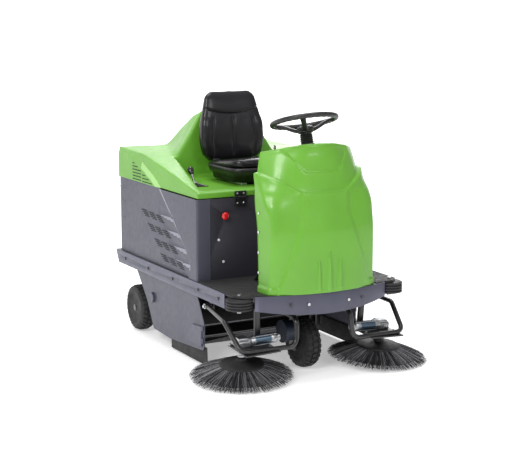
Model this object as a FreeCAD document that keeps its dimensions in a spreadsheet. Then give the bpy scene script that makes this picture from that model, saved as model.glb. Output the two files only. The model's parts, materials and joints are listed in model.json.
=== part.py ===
import FreeCAD, Part
import math
import os

# Ride-on sweeper. Millimetres, +Z up, floor at z = 0, the front faces -Y and the
# right-hand side of the machine is -X. X = 0 is the plane of symmetry.

Vector = FreeCAD.Vector
Placement = FreeCAD.Placement
Rotation = FreeCAD.Rotation

os.makedirs("parts", exist_ok=True)
DOC = FreeCAD.newDocument("ride_on_sweeper")

SIZES = {
    "deck_top": 440.0,            # top face of the deck plate
    "deck_thick": 6.0,
    "deck_half": 475.0,           # half width of the deck plate
    "deck_rear": 823.0,
    "mat_thick": 4.0,
    "rail_thick": 5.0,
    "rail_low": 368.0,            # lower edge of the side rails
    "rail_front": -551.0,
    "rail_rear": 828.0,
    "bow_radius": 985.0,          # outer face of the bowed front rail
    "bow_nose": -755.0,
    "bow_half": 377.0,
    "bow_low": 334.0,             # lowest point of the front rail
    "body_front": -232.0,
    "body_rear": 794.0,
    "body_half": 466.0,
    "seam": 864.0,                # joint line of body and hood
    "sheet": 4.0,
    "proud": 8.0,                 # raised field on the side panels
    "louvre_long": 74.0,
    "louvre_high": 5.5,
    "wheel_radius": 130.0,
    "tyre_half": 42.5,
    "rim_radius": 74.0,
    "rear_wheel_y": 624.0,
    "rear_wheel_x": 418.5,
    "rear_axle_radius": 12.5,
    "steer_y": -498.0,
    "front_axle_radius": 10.0,
    "stem_radius": 22.0,
    "fit": 0.06,                  # radial clearance of a running fit
    "roller_x": 437.0,
    "roller_y": -628.0,
    "roller_radius": 68.0,
    "roller_bolt": 6.0,
    "brush_x": 400.0,             # centre of the bristle tips of a side brush
    "brush_y": -580.0,
    "brush_z": 23.0,
    "brush_radius": 266.0,
    "brush_out": 0.04,            # lean of the brush axis outwards
    "brush_fore": 0.07,           # lean of the brush axis forwards
    "disc_radius": 112.0,
    "spindle_radius": 8.0,
    "tube_radius": 12.5,
    "tube_wall": 2.5,
    "pivot_y": -310.0,            # pivot of the side brush frames
    "pivot_z": 329.0,
    "pivot_pin": 6.0,
    "main_y": 150.0,              # axis of the main brush
    "main_z": 148.0,
    "main_radius": 146.0,
    "main_half": 370.0,
    "core_radius": 72.0,
    "main_axle": 12.0,
    "wheel_centre_y": -496.0,     # steering wheel
    "wheel_centre_z": 1266.0,
    "wheel_lean": 16.4,
    "rim_line": 161.0,
    "rim_tube": 14.0,
    "shaft_radius": 12.0,
    "hinge_y": -239.0,            # axis of the hood hinges
    "bay_floor": 898.0,
    "door_plane": 458.0,
}


def make_sheet():
    sheet = DOC.addObject("Spreadsheet::Sheet", "sizes")
    for row, (alias, amount) in enumerate(SIZES.items(), start=1):
        sheet.set("A%d" % row, alias)
        sheet.set("B%d" % row, str(amount))
        sheet.setAlias("B%d" % row, alias)
    DOC.recompute()
    return sheet


SHEET = make_sheet()


def size(alias):
    return float(SHEET.get(alias))


def assign(item, **amounts):
    """Set properties; a string is an expression over the sheet."""
    for prop, amount in amounts.items():
        if isinstance(amount, str):
            item.setExpression(prop, amount)
        else:
            setattr(item, prop, amount)
    return item


# ---------------------------------------------------------------- features

def body_of(label):
    body = DOC.addObject("PartDesign::Body", label)
    body.Label = label
    return body


def plane(body, role):
    return next(item for item in body.Origin.OriginFeatures if item.Role == role)


def lines(points):
    corners = [Vector(x, y, 0) for x, y in points]
    return [Part.LineSegment(a, b) for a, b in zip(corners, corners[1:] + corners[:1])]


def ring(x, y, radius):
    return [Part.Circle(Vector(x, y, 0), Vector(0, 0, 1), radius)]


def rectangle(x_low, y_low, x_high, y_high):
    return lines([(x_low, y_low), (x_high, y_low), (x_high, y_high), (x_low, y_high)])


def sketch(body, role, geometry, offset=0.0):
    item = body.newObject("Sketcher::SketchObject", body.Label + "_sketch")
    item.AttachmentSupport = [(plane(body, role), "")]
    item.MapMode = "FlatFace"
    item.AttachmentOffset = Placement(Vector(0, 0, offset), Rotation())
    item.addGeometry(geometry, False)
    item.Visibility = False
    return item


def pad(body, profile, length, reverse=False):
    item = body.newObject("PartDesign::Pad", body.Label + "_pad")
    item.Profile = profile
    assign(item, Length=length)
    item.Reversed = reverse
    return item


def pocket(body, profile, length, reverse=False):
    item = body.newObject("PartDesign::Pocket", body.Label + "_pocket")
    item.Profile = profile
    assign(item, Length=length)
    item.Reversed = reverse
    return item


def revolve(body, profile, axis_role="X_Axis"):
    item = body.newObject("PartDesign::Revolution", body.Label + "_turn")
    item.Profile = profile
    item.ReferenceAxis = (plane(body, axis_role), [""])
    item.Angle = 360.0
    return item


def polar(body, feature, axis_role, count):
    item = body.newObject("PartDesign::PolarPattern", body.Label + "_polar")
    item.Originals = [feature]
    item.Axis = (plane(body, axis_role), [""])
    item.Angle = 360.0
    item.Occurrences = count
    body.Tip = item
    return item


def plate_z(label, geometry, bottom, thick):
    """Plate cut from an outline in plan."""
    body = body_of(label)
    pad(body, sketch(body, "XY_Plane", geometry, bottom), thick)
    return body


def plate_x(label, geometry, low_x, thick):
    """Plate cut from an outline in side view (y, z)."""
    body = body_of(label)
    pad(body, sketch(body, "YZ_Plane", geometry, low_x), thick)
    return body


def plate_y(label, geometry, high_y, thick):
    """Plate cut from an outline in front view (x, z), thickness towards -Y."""
    body = body_of(label)
    pad(body, sketch(body, "XZ_Plane", geometry, -high_y), thick)
    return body


def box(low, high, name="block"):
    item = DOC.addObject("Part::Box", name)
    assign(item, Length=high[0] - low[0], Width=high[1] - low[1], Height=high[2] - low[2])
    item.Placement = Placement(Vector(*low), Rotation())
    return item


def rod(start, direction, radius, length, name="rod"):
    item = DOC.addObject("Part::Cylinder", name)
    assign(item, Radius=radius, Height=length)
    turn = Rotation(Vector(0, 0, 1), Vector(*direction))
    item.Placement = Placement(Vector(*start), turn)
    return item


def fuse(label, items):
    item = DOC.addObject("Part::MultiFuse", label)
    item.Label = label
    item.Shapes = items
    return item


def cut(label, base, tool):
    item = DOC.addObject("Part::Cut", label)
    item.Label = label
    item.Base = base
    item.Tool = tool
    return item


def named(label, item):
    item.Label = label
    return item


def group(label, items):
    """Identical fasteners or blocks that stay separate solids of one node."""
    item = DOC.addObject("Part::Compound", label)
    item.Label = label
    item.Links = items
    return item


def shaped(label, shape, placement=None):
    item = DOC.addObject("Part::Feature", label)
    item.Label = label
    item.Shape = shape
    if placement is not None:
        item.Placement = placement
    return item


def side_name(stem, side):
    return stem + ("_right" if side < 0 else "_left")


def span_x(side, near, far):
    """Low and high x of a span given by its distances from the middle plane."""
    return (near, far) if side > 0 else (-far, -near)


# ---------------------------------------------------------------- chassis

def bow_y(x, inset=0.0):
    """Front rail in plan, inset from its outer face."""
    radius = size("bow_radius") - inset
    return size("bow_nose") + size("bow_radius") - math.sqrt(radius ** 2 - x ** 2)


def chassis_frame():
    top = size("deck_top") - size("deck_thick")
    steer, rear = size("steer_y"), size("rear_wheel_y")
    pivot_y, pivot_z = size("pivot_y"), size("pivot_z")
    items = [box((-280, -280, top - 40), (280, -250, top)),
             box((-280, 395, top - 40), (280, 425, top)),
             box((-280, 740, top - 40), (280, 770, top)),
             box((-300, steer - 42, top - 12), (300, steer + 42, top)),
             rod((0, steer, 340), (0, 0, 1), 38.0, top - 340)]
    for side in (-1, 1):
        low, high = span_x(side, 280, 320)
        items.append(box((low, -600, top - 50), (high, 770, top)))
        for arm_y in (-325, 20, 460, 700):
            low, high = span_x(side, 310, 466)
            items.append(box((low, arm_y, top - 30), (high, arm_y + 30, top)))
        low, high = span_x(side, 352, 366)
        items.append(box((low, rear - 40, 100), (high, rear + 40, top)))
        low, high = span_x(side, 310, 366)
        items.append(box((low, rear - 40, top - 30), (high, rear + 40, top)))
        axle = rod((side * 352, rear, size("wheel_radius")), (side, 0, 0), 12.5, 106)
        items.append(assign(axle, Radius="sizes.rear_axle_radius"))
        low, high = span_x(side, 425, 433)
        items.append(box((low, pivot_y - 25, pivot_z - 18), (high, pivot_y + 25, top - 10)))
        low, high = span_x(side, 186, 194)
        items.append(box((low, pivot_y - 25, pivot_z - 18), (high, -255, top)))
        for start, length, way in ((430, 42, side), (190, 42, -side)):
            pin = rod((side * start, pivot_y, pivot_z), (way, 0, 0), 6.0, length)
            items.append(assign(pin, Radius="sizes.pivot_pin"))
    bore = rod((0, steer, 300), (0, 0, 1), 22.0, 200)
    assign(bore, Radius="sizes.stem_radius + sizes.fit")
    return cut("chassis_frame", fuse("frame_weldment", items), bore)


def deck_outline(inset):
    """Plan outline of the deck, following the bowed rail and the two corners."""
    half = size("deck_half") - inset
    bow = size("bow_half")
    front = bow_y(bow, size("rail_thick") + inset)
    nose = bow_y(0, size("rail_thick") + inset)
    return half, bow, front, nose


def deck_plate():
    half, bow, front, nose = deck_outline(0.3)
    rear = size("deck_rear") - 0.3
    path = [(bow, front), (432, front), (half, -625), (half, rear),
            (-half, rear), (-half, -625), (-432, front), (-bow, front)]
    corners = [Vector(x, y, 0) for x, y in path]
    geometry = [Part.LineSegment(a, b) for a, b in zip(corners, corners[1:])]
    geometry.append(Part.Arc(corners[-1], Vector(0, nose, 0), corners[0]))
    body = plate_z("deck_plate", geometry, size("deck_top") - size("deck_thick"), "sizes.deck_thick")
    holes = ring(0, size("steer_y"), 40) + rectangle(-200, 90, 200, 330)
    for side in (-1, 1):
        holes += ring(side * size("roller_x"), size("roller_y"), size("roller_bolt") + 0.3)
    pocket(body, sketch(body, "XY_Plane", holes, size("deck_top")), "sizes.deck_thick + 2")
    return body


def deck_mat():
    half, bow, front, nose = deck_outline(2.3)
    edge = 318.0
    cut_y = -584.0
    path = [(edge, cut_y), (edge, bow_y(edge, 7.3)), (bow, front), (430, front), (half, -627),
            (half, size("body_front") - 9), (-half, size("body_front") - 9), (-half, -627),
            (-430, front), (-bow, front), (-edge, bow_y(edge, 7.3)), (-edge, cut_y)]
    body = plate_z("deck_mat", lines(path), size("deck_top"), "sizes.mat_thick")
    holes = ring(0, size("steer_y"), 42)
    for side in (-1, 1):
        holes += ring(side * size("roller_x"), size("roller_y"), size("roller_bolt") + 0.3)
    top = size("deck_top") + size("mat_thick")
    pocket(body, sketch(body, "XY_Plane", holes, top), "sizes.mat_thick + 2")
    return body


def front_bolt_places():
    return [(-205, 392), (-115, 390), (115, 390), (205, 392)]


def front_bumper_rail():
    bow, thick = size("bow_half"), size("rail_thick")
    outer = [Vector(-bow, bow_y(bow), 0), Vector(0, bow_y(0), 0), Vector(bow, bow_y(bow), 0)]
    inner = [Vector(bow, bow_y(bow, thick), 0), Vector(0, bow_y(0, thick), 0),
             Vector(-bow, bow_y(bow, thick), 0)]
    geometry = [Part.Arc(*outer), Part.LineSegment(outer[2], inner[0]),
                Part.Arc(*inner), Part.LineSegment(inner[2], outer[0])]
    body = plate_z("front_bumper_rail", geometry, size("bow_low"), "sizes.deck_top - sizes.bow_low")
    low = size("bow_low")
    side_low = size("rail_low")
    sweep = [Vector(-bow, side_low, 0), Vector(0, low, 0), Vector(bow, side_low, 0)]
    below = [Vector(bow + 9, side_low, 0), Vector(bow + 9, low - 9, 0),
             Vector(-bow - 9, low - 9, 0), Vector(-bow - 9, side_low, 0)]
    path = [sweep[2]] + below + [sweep[0]]
    trim = [Part.LineSegment(a, b) for a, b in zip(path, path[1:])]
    trim.append(Part.Arc(*sweep))
    pocket(body, sketch(body, "XZ_Plane", trim, 900), 400)
    holes = []
    for x, z in front_bolt_places():
        holes += ring(x, z, 4.3)
    pocket(body, sketch(body, "XZ_Plane", holes, 900), 400)
    return body


SIDE_BOLTS = [-480, -250, 60, 380, 700]


def side_rail(side):
    label = side_name("side_rail", side)
    top, low = size("deck_top"), size("rail_low")
    front, rear = size("rail_front"), size("rail_rear")
    web = lines([(rear, top), (rear, top - 14), (rear - 34, low), (front, low), (front, top)])
    thick = size("rail_thick")
    web_x = span_x(side, 475, 475 + thick)[0]
    body = plate_x(label, web, web_x, "sizes.rail_thick")
    pad(body, sketch(body, "YZ_Plane", rectangle(front, low, rear - 60, low + thick), side * 476),
        22, reverse=side > 0)
    holes = []
    for y in SIDE_BOLTS:
        holes += ring(y, 404, 4.3)
    pocket(body, sketch(body, "YZ_Plane", holes, 500), 1000)
    return body


def rear_bumper_rail():
    rear, top = size("rail_rear"), size("deck_top")
    return plate_y("rear_bumper_rail", rectangle(-474.7, 395, 474.7, top), rear, "sizes.rail_thick")


def bolt(start, direction, name="bolt"):
    """Button head bolt, its head seated at the start point."""
    back = [-part for part in direction]
    head = rod(start, direction, 7.5, 4.5)
    shank = rod(start, back, 4.0, 12.0)
    return fuse(name, [head, shank])


def deck_bolts():
    items = []
    for x, z in front_bolt_places():
        items.append(bolt((x, bow_y(abs(x) - 7.6), z), (0, -1, 0)))
    for side in (-1, 1):
        for y in SIDE_BOLTS:
            items.append(bolt((side * 480, y, 404), (side, 0, 0)))
        x, y = side * size("roller_x"), size("roller_y")
        top = size("deck_top") + size("mat_thick")
        stem = assign(rod((x, y, 358), (0, 0, 1), 6.0, top - 358), Radius="sizes.roller_bolt")
        items.append(fuse("roller_bolt", [stem, rod((x, y, top), (0, 0, 1), 11, 7),
                                          rod((x, y, 358), (0, 0, 1), 12, 11)]))
    return group("deck_bolts", items)


# ---------------------------------------------------------------- body panels

def louvre_slots():
    """Four groups of three stacked blocks, each group further forward and lower."""
    slots = []
    for row in range(4):
        first_y = 498 - 84 * row
        first_z = 722 - 70.5 * row
        for block in range(3):
            for slot in range(4):
                y = first_y - 96 * block - 17 * slot
                z = first_z - 3 * block - 9.5 * slot
                slots += rectangle(y - size("louvre_long"), z - size("louvre_high"), y, z)
    return slots


def body_side(side):
    label = side_name("body_side", side)
    front, rear = size("body_front"), size("body_rear")
    top, seam, sheet = size("deck_top") + 0.5, size("seam"), size("sheet")
    half, proud = size("body_half"), size("proud")
    low_x, high_x = span_x(side, half - sheet, half)
    body = plate_x(label, rectangle(front, top, rear, seam), low_x, "sizes.sheet")
    field = lines([(rear - 3, top + 3), (rear - 3, seam - 0.5), (238, seam - 0.5), (-96, 576),
                   (-124, 530), (-110, top + 3)])
    raised = pad(body, sketch(body, "YZ_Plane", field, side * half), "sizes.proud", reverse=side < 0)
    raised.TaperAngle = -20.0
    pocket(body, sketch(body, "YZ_Plane", louvre_slots(), -700), 1400, reverse=True)
    flange = rectangle(*span_x_rect(side, 396, half - 1, front, front + sheet))
    pad(body, sketch(body, "XY_Plane", flange, top), "sizes.seam - sizes.deck_top - 0.5")
    hollow = lines([(rear - 20, top + 20), (rear - 20, seam - 20), (232, seam - 20), (-84, 566),
                    (-104, 530), (-90, top + 20)])
    pocket(body, sketch(body, "YZ_Plane", hollow, side * (half - sheet)), "sizes.proud",
           reverse=side > 0)
    return body


def span_x_rect(side, near, far, y_low, y_high):
    low, high = span_x(side, near, far)
    return low, y_low, high, y_high


def body_front_panel():
    y = size("body_front") + size("sheet") + 4.5
    body = plate_y("body_front_panel", rectangle(-440, size("deck_top") + 0.5, 440, size("seam") - 1),
                   y, "sizes.sheet")
    pocket(body, sketch(body, "XZ_Plane", ring(-315, 772, 11), -y), "sizes.sheet + 2", reverse=True)
    return body


def body_rear_panel():
    y = size("body_rear") - 4
    body = plate_y("body_rear_panel", rectangle(-461, size("deck_top") + 0.5, 461, size("seam") - 1),
                   y, "sizes.sheet")
    slots = []
    for row in range(6):
        slots += rectangle(-260, 600 + 22 * row, -60, 608 + 22 * row)
        slots += rectangle(60, 600 + 22 * row, 260, 608 + 22 * row)
    pocket(body, sketch(body, "XZ_Plane", slots, -y - 10), 60, reverse=True)
    return body


def panel_screws():
    items = []
    face = size("body_front") + 4.4
    for side in (-1, 1):
        for x, z in ((346, 648), (320, 532)):
            items.append(rod((side * x, face, z), (0, -1, 0), 5.5, 3.5))
    return group("panel_screws", items)


# ---------------------------------------------------------------- fairing and dash

# height, rear x, rear y, corner x, corner y, shoulder x, shoulder y, nose y
FAIRING = [
    (441, 310, -590, 303, -676, 150, -741, -757),
    (736, 310, -578, 290, -694, 145, -733, -745),
    (868, 312, -556, 278, -684, 135, -712, -722),
    (938, 304, -544, 246, -660, 125, -704, -713),
    (1023, 284, -528, 222, -632, 108, -688, -696),
    (1110, 264, -516, 204, -608, 104, -676, -690),
    (1140, 246, -512, 190, -596, 92, -664, -676),
    (1164, 200, -508, 160, -580, 76, -644, -660),
]


def roof_wedge(drop):
    """Everything above the roof, which falls from the nose towards the driver."""
    nose, rise = -656, 1166 - drop
    profile = [(nose, rise), (-400, rise - 72), (-400, 1300), (nose, 1300)]
    wire = Part.makePolygon([Vector(-400, y, z) for y, z in profile + profile[:1]])
    return Part.Face(wire).extrude(Vector(800, 0, 0))


def fairing_wire(row, inset, rear_extra, drop):
    z, rear_x, rear_y, corner_x, corner_y, mid_x, mid_y, nose = row
    half = [(rear_x - inset, rear_y + rear_extra), (corner_x - inset, corner_y + inset),
            (mid_x, mid_y + inset)]
    points = half + [(0, nose + inset)] + [(-x, y) for x, y in reversed(half)]
    return Part.makePolygon([Vector(x, y, z - drop) for x, y in points + points[:1]])


DASH_CONTROLS = [(-190, -536), (-148, -536)]     # key and horn button in the roof


def steering_axis():
    lean = math.radians(size("wheel_lean"))
    centre = Vector(0, size("wheel_centre_y"), size("wheel_centre_z"))
    return centre, Vector(0, math.sin(lean), math.cos(lean))


def front_fairing():
    sheet = size("sheet")
    outer = Part.makeLoft([fairing_wire(row, 0, 0, 0) for row in FAIRING], True, True)
    outer = outer.cut(roof_wedge(0))
    rows = [(400,) + FAIRING[0][1:]] + FAIRING[1:]
    inner = Part.makeLoft([fairing_wire(row, sheet, 90, sheet) for row in rows], True, True)
    inner = inner.cut(roof_wedge(sheet))
    centre, up = steering_axis()
    shell = outer.cut(inner).cut(Part.makeCylinder(34.5, 200, centre - up * 220, up))
    for x, y in DASH_CONTROLS:
        shell = shell.cut(Part.makeCylinder(9.4, 80, Vector(x, y, 1100)))
    return shaped("front_fairing", shell)


def dash_panel():
    thick = size("sheet")
    levels = [(size("deck_top") + size("mat_thick") + 1, 300, -592, -458),
              (1096, 252, -512, -462)]
    wires = []
    for z, wide, wing_y, face_y in levels:
        front = [(-wide, wing_y), (-118, face_y), (118, face_y), (wide, wing_y)]
        back = [(wide - 3, wing_y - thick), (116, face_y - thick), (-116, face_y - thick),
                (-wide + 3, wing_y - thick)]
        path = front + back
        wires.append(Part.makePolygon([Vector(x, y, z) for x, y in path + path[:1]]))
    return shaped("dash_panel", Part.makeLoft(wires, True, True))


def dash_display():
    return plate_y("dash_display", rectangle(-95, 1010, 95, 1080), -447.5, 13.2)


def key_switch():
    x, y = DASH_CONTROLS[0]
    barrel = rod((x, y, 1108), (0, 0, 1), 9, 30)
    bow = box((x - 2, y - 11, 1137), (x + 2, y + 11, 1158))
    return fuse("key_switch", [barrel, bow])


def horn_button():
    x, y = DASH_CONTROLS[1]
    return named("horn_button", rod((x, y, 1108), (0, 0, 1), 9, 32))


# ---------------------------------------------------------------- steering

def steering_column():
    centre, up = steering_axis()
    start = centre - up * 200
    tube = rod(tuple(start), tuple(up), 24, 120)
    flange = rod(tuple(centre - up * 128), tuple(up), 33, 6)
    bore = rod(tuple(start - up * 5), tuple(up), 12.0, 200)
    assign(bore, Radius="sizes.shaft_radius + sizes.fit")
    return cut("steering_column", fuse("column_tube", [tube, flange]), bore)


def steering_wheel():
    centre, up = steering_axis()
    rim = DOC.addObject("Part::Torus", "rim")
    assign(rim, Radius1="sizes.rim_line", Radius2="sizes.rim_tube")
    turn = Rotation(Vector(0, 0, 1), up)
    rim.Placement = Placement(centre, turn)
    hub = rod(tuple(centre - up * 62), tuple(up), 36, 34)
    items = [rim, hub]
    for angle in (-2, 118, 238):
        out = turn.multVec(Vector(math.cos(math.radians(angle)), math.sin(math.radians(angle)), 0))
        start = centre - up * 44 + out * 20
        end = centre + out * size("rim_line") - up * 4
        items.append(rod(tuple(start), tuple(end - start), 10, (end - start).Length))
    return fuse("steering_wheel", items)


def steering_shaft():
    centre, up = steering_axis()
    item = rod(tuple(centre - up * 210), tuple(up), 12, 148)
    assign(item, Radius="sizes.shaft_radius")
    return named("steering_shaft", item)


def link_ends():
    centre, up = steering_axis()
    top = centre - up * 214
    bottom = Vector(0, size("steer_y"), 456)
    return bottom, top


def steering_link_shaft():
    bottom, top = link_ends()
    way = top - bottom
    way.normalize()
    shaft = rod(tuple(bottom), tuple(way), 11, (top - bottom).Length - 6)
    cup = rod(tuple(top - way * 44), tuple(way), 18, 36)
    return fuse("steering_link_shaft", [shaft, cup])


def front_fork():
    y, radius = size("steer_y"), size("wheel_radius")
    stem = assign(rod((0, y, 300), (0, 0, 1), 22, 148), Radius="sizes.stem_radius")
    items = [stem, box((-72, y - 50, 282), (72, y + 50, 306))]
    for side in (-1, 1):
        low, high = span_x(side, 54, 66)
        items.append(box((low, y - 32, 96), (high, y + 32, 290)))
    axle = rod((-66, y, radius), (1, 0, 0), 10, 132)
    items.append(assign(axle, Radius="sizes.front_axle_radius"))
    return fuse("front_fork", items)


def drive_motor():
    y = size("steer_y")
    return fuse("drive_motor", [rod((-66.2, y - 20, 205), (-1, 0, 0), 52, 58),
                                rod((-124, y - 20, 205), (-1, 0, 0), 58, 16)])


# ---------------------------------------------------------------- wheels

def tyre(label, place):
    body = body_of(label)
    radius, half, rim = size("wheel_radius"), size("tyre_half"), size("rim_radius")
    profile = [(-half + 6, rim), (half - 6, rim), (half, rim + 22), (half, radius - 18),
               (half - 12, radius), (-half + 12, radius), (-half, radius - 18), (-half, rim + 22)]
    revolve(body, sketch(body, "XY_Plane", lines(profile)))
    body.Placement = Placement(Vector(*place), Rotation())
    return body


def rim(label, place, bore):
    body = body_of(label)
    half, radius = size("tyre_half"), size("rim_radius")
    profile = [(-half + 8, bore), (half - 8, bore), (half - 8, 26), (8, 26), (8, radius - 9),
               (half - 9, radius - 9), (half - 9, radius - 0.2), (-half + 9, radius - 0.2),
               (-half + 9, radius - 9), (-8, radius - 9), (-8, 26), (-half + 8, 26)]
    revolve(body, sketch(body, "XY_Plane", lines(profile)))
    hole = pocket(body, sketch(body, "YZ_Plane", ring(45, 0, 8), -60), 120, reverse=True)
    polar(body, hole, "X_Axis", 5)
    body.Placement = Placement(Vector(*place), Rotation())
    return body


def wheels():
    radius = size("wheel_radius")
    front = (0, size("steer_y"), radius)
    tyre("front_tyre", front)
    rim("front_rim", front, size("front_axle_radius") + size("fit"))
    for side in (-1, 1):
        place = (side * size("rear_wheel_x"), size("rear_wheel_y"), radius)
        tyre(side_name("rear_tyre", side), place)
        rim(side_name("rear_rim", side), place, size("rear_axle_radius") + size("fit"))


def corner_roller(side):
    label = side_name("corner_roller", side)
    body = body_of(label)
    bore, radius = size("roller_bolt") + size("fit"), size("roller_radius")
    low, high, step = 371.0, 431.0, 15.0
    profile = [(bore, low), (radius - 8, low)]
    for rib in range(4):
        base = low + step * rib
        profile += [(radius, base + 3), (radius, base + 10), (radius - 6, base + 13)]
    profile[-1] = (radius - 8, high)
    profile.append((bore, high))
    sk = sketch(body, "XZ_Plane", lines(profile))
    revolve(body, sk, "Z_Axis")
    body.Placement = Placement(Vector(side * size("roller_x"), size("roller_y"), 0), Rotation())
    return body


# ---------------------------------------------------------------- side brushes

def rounded_path(points, bend):
    """Straight runs joined by tangent arcs."""
    edges = []
    start = Vector(*points[0])
    for index in range(1, len(points) - 1):
        corner = Vector(*points[index])
        back = Vector(*points[index - 1]) - corner
        ahead = Vector(*points[index + 1]) - corner
        back.normalize()
        ahead.normalize()
        turn = math.pi - back.getAngle(ahead)
        reach = bend * math.tan(turn / 2)
        first, last = corner + back * reach, corner + ahead * reach
        centre_way = back + ahead
        centre_way.normalize()
        middle = corner + centre_way * (bend / math.cos(turn / 2) - bend)
        edges.append(Part.makeLine(start, first))
        edges.append(Part.Arc(first, middle, last).toShape())
        start = last
    edges.append(Part.makeLine(start, Vector(*points[-1])))
    return Part.Wire(edges)


def swept(points, bend, radius):
    path = rounded_path(points, bend)
    way = Vector(*points[1]) - Vector(*points[0])
    profile = Part.Wire(Part.makeCircle(radius, Vector(*points[0]), way))
    return path.makePipeShell([profile], True, False)


def frame_path(side):
    y, z = size("pivot_y"), size("pivot_z")
    return [(side * 455, y, z), (side * 490, -572, 305), (side * 470, -712, 178),
            (side * 163, -716, 178), (side * 156, -700, 316), (side * 167, y, z)]


def brush_axis(side):
    origin = Vector(side * size("brush_x"), size("brush_y"), size("brush_z"))
    way = Vector(side * size("brush_out"), -size("brush_fore"), 1)
    way.normalize()
    return origin, way


def brush_placement(side):
    origin, way = brush_axis(side)
    return Placement(origin, Rotation(Vector(0, 0, 1), way))


def brush_frame(side):
    radius, wall = size("tube_radius"), size("tube_wall")
    tube = swept(frame_path(side), 46, radius).cut(swept(frame_path(side), 46, radius - wall))
    y, z = size("pivot_y"), size("pivot_z")
    pieces = []
    for x in (455, 167):
        start = Vector(side * x - 15, y, z)
        pieces.append(Part.makeCylinder(14, 30, start, Vector(1, 0, 0)))
    near_x = -50 if side < 0 else -140
    plate = Part.makeBox(190, 202, 6, Vector(near_x, -150, 149))
    plate = plate.cut(Part.makeCylinder(20.6, 20, Vector(0, 0, 140)))
    strut = Part.makeCylinder(17, 168, Vector(-side * 104, 32, 154))
    for item in (plate, strut):
        item.Placement = brush_placement(side).multiply(item.Placement)
        pieces.append(item)
    whole = tube.multiFuse(pieces)
    for x in (455, 167):
        start = Vector(side * x - 30, y, z)
        whole = whole.cut(Part.makeCylinder(size("pivot_pin") + size("fit"), 60, start, Vector(1, 0, 0)))
    return shaped(side_name("brush_frame", side), whole)


def side_brush_motor(side):
    """Worm gearbox over the brush with the motor lying inwards."""
    gearbox = Part.makeBox(76, 76, 48, Vector(-38, -38, 155.3))
    gearbox = gearbox.makeFillet(8, gearbox.Edges)
    start = Vector(-side * 30, -24, 182)
    motor = Part.makeCylinder(26, 150, start, Vector(-side, 0, 0))
    cap = Part.makeCylinder(21, 168, start, Vector(-side, 0, 0))
    neck = Part.makeCylinder(20, 58, Vector(0, 0, 100))
    whole = gearbox.multiFuse([motor, cap, neck])
    whole = whole.cut(Part.makeCylinder(size("spindle_radius") + size("fit"), 82, Vector(0, 0, 95)))
    return shaped(side_name("side_brush_motor", side), whole, brush_placement(side))


def side_brush_disc(side):
    body = body_of(side_name("side_brush_disc", side))
    radius = size("disc_radius")
    spindle = size("spindle_radius")
    profile = [(0, 62), (radius, 62), (radius, 68), (40, 82), (26, 82), (26, 98), (spindle, 98),
               (spindle, 174), (0, 174)]
    revolve(body, sketch(body, "XZ_Plane", lines(profile)), "Z_Axis")
    body.Placement = brush_placement(side)
    return body


def side_brush_bristles(side):
    body = body_of(side_name("side_brush_bristles", side))
    tip, root = size("brush_radius"), size("disc_radius")
    profile = [(58, 61.8), (root - 2, 61.8), (tip, 5), (tip - 2, 0), (tip - 34, 0), (58, 44)]
    revolve(body, sketch(body, "XZ_Plane", lines(profile)), "Z_Axis")
    body.Placement = brush_placement(side)
    return body


# ---------------------------------------------------------------- main brush

def main_brush_core():
    y, z, half = size("main_y"), size("main_z"), size("main_half")
    outer = assign(rod((-half, y, z), (1, 0, 0), 45, 2 * half), Radius="sizes.core_radius")
    inner = rod((-half + 8, y, z), (1, 0, 0), 40, 2 * half - 16)
    assign(inner, Radius="sizes.core_radius - 5")
    drum = cut("core_drum", outer, inner)
    axle = rod((-half - 24, y, z), (1, 0, 0), 12, 2 * half + 48)
    assign(axle, Radius="sizes.main_axle")
    return fuse("main_brush_core", [drum, axle])


def main_brush_bristles():
    """Twelve rows of tufts on a thin backing tube."""
    body = body_of("main_brush_bristles")
    half, outer, core = size("main_half") - 4, size("main_radius"), size("core_radius") + 0.1
    backing = ring(0, 0, core + 9) + ring(0, 0, core)
    pad(body, sketch(body, "YZ_Plane", backing, -half), 2 * half)
    flat = outer * math.cos(math.asin(9 / outer))
    row = lines([(core + 6, -9), (flat, -9), (outer, 0), (flat, 9), (core + 6, 9)])
    tufts = pad(body, sketch(body, "YZ_Plane", row, -half), 2 * half)
    polar(body, tufts, "X_Axis", 12)
    body.Placement = Placement(Vector(0, size("main_y"), size("main_z")), Rotation())
    return body


def brush_tunnel():
    y, z, half = size("main_y"), size("main_z"), size("main_half")
    outer = rod((-half - 15, y, z), (1, 0, 0), 164, 2 * half + 30)
    inner = rod((-half - 16, y, z), (1, 0, 0), 160, 2 * half + 32)
    floor = box((-half - 17, y - 200, -30), (half + 17, y + 200, z + 6))
    mouth = box((-half - 17, y + 60, 0), (half + 17, y + 200, z + 70))
    hood = cut("tunnel_hood", outer, fuse("tunnel_voids", [inner, floor, mouth]))
    items = [hood]
    for side in (-1, 1):
        low, high = span_x(side, half + 12, half + 17)
        items.append(box((low, y - 170, 70), (high, y + 170, 383.7)))
    bore = rod((-half - 30, y, z), (1, 0, 0), 12, 2 * half + 60)
    assign(bore, Radius="sizes.main_axle + sizes.fit")
    return cut("brush_tunnel", fuse("tunnel_walls", items), bore)


def side_flap(side):
    low_x = span_x(side, 446, 450)[0]
    outline = lines([(144, 8), (144, 100), (-290, 104), (-296, 8)])
    body = plate_x(side_name("side_flap", side), outline, low_x, 4)
    return body


DOOR_HINGE_Y = -268.0


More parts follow.
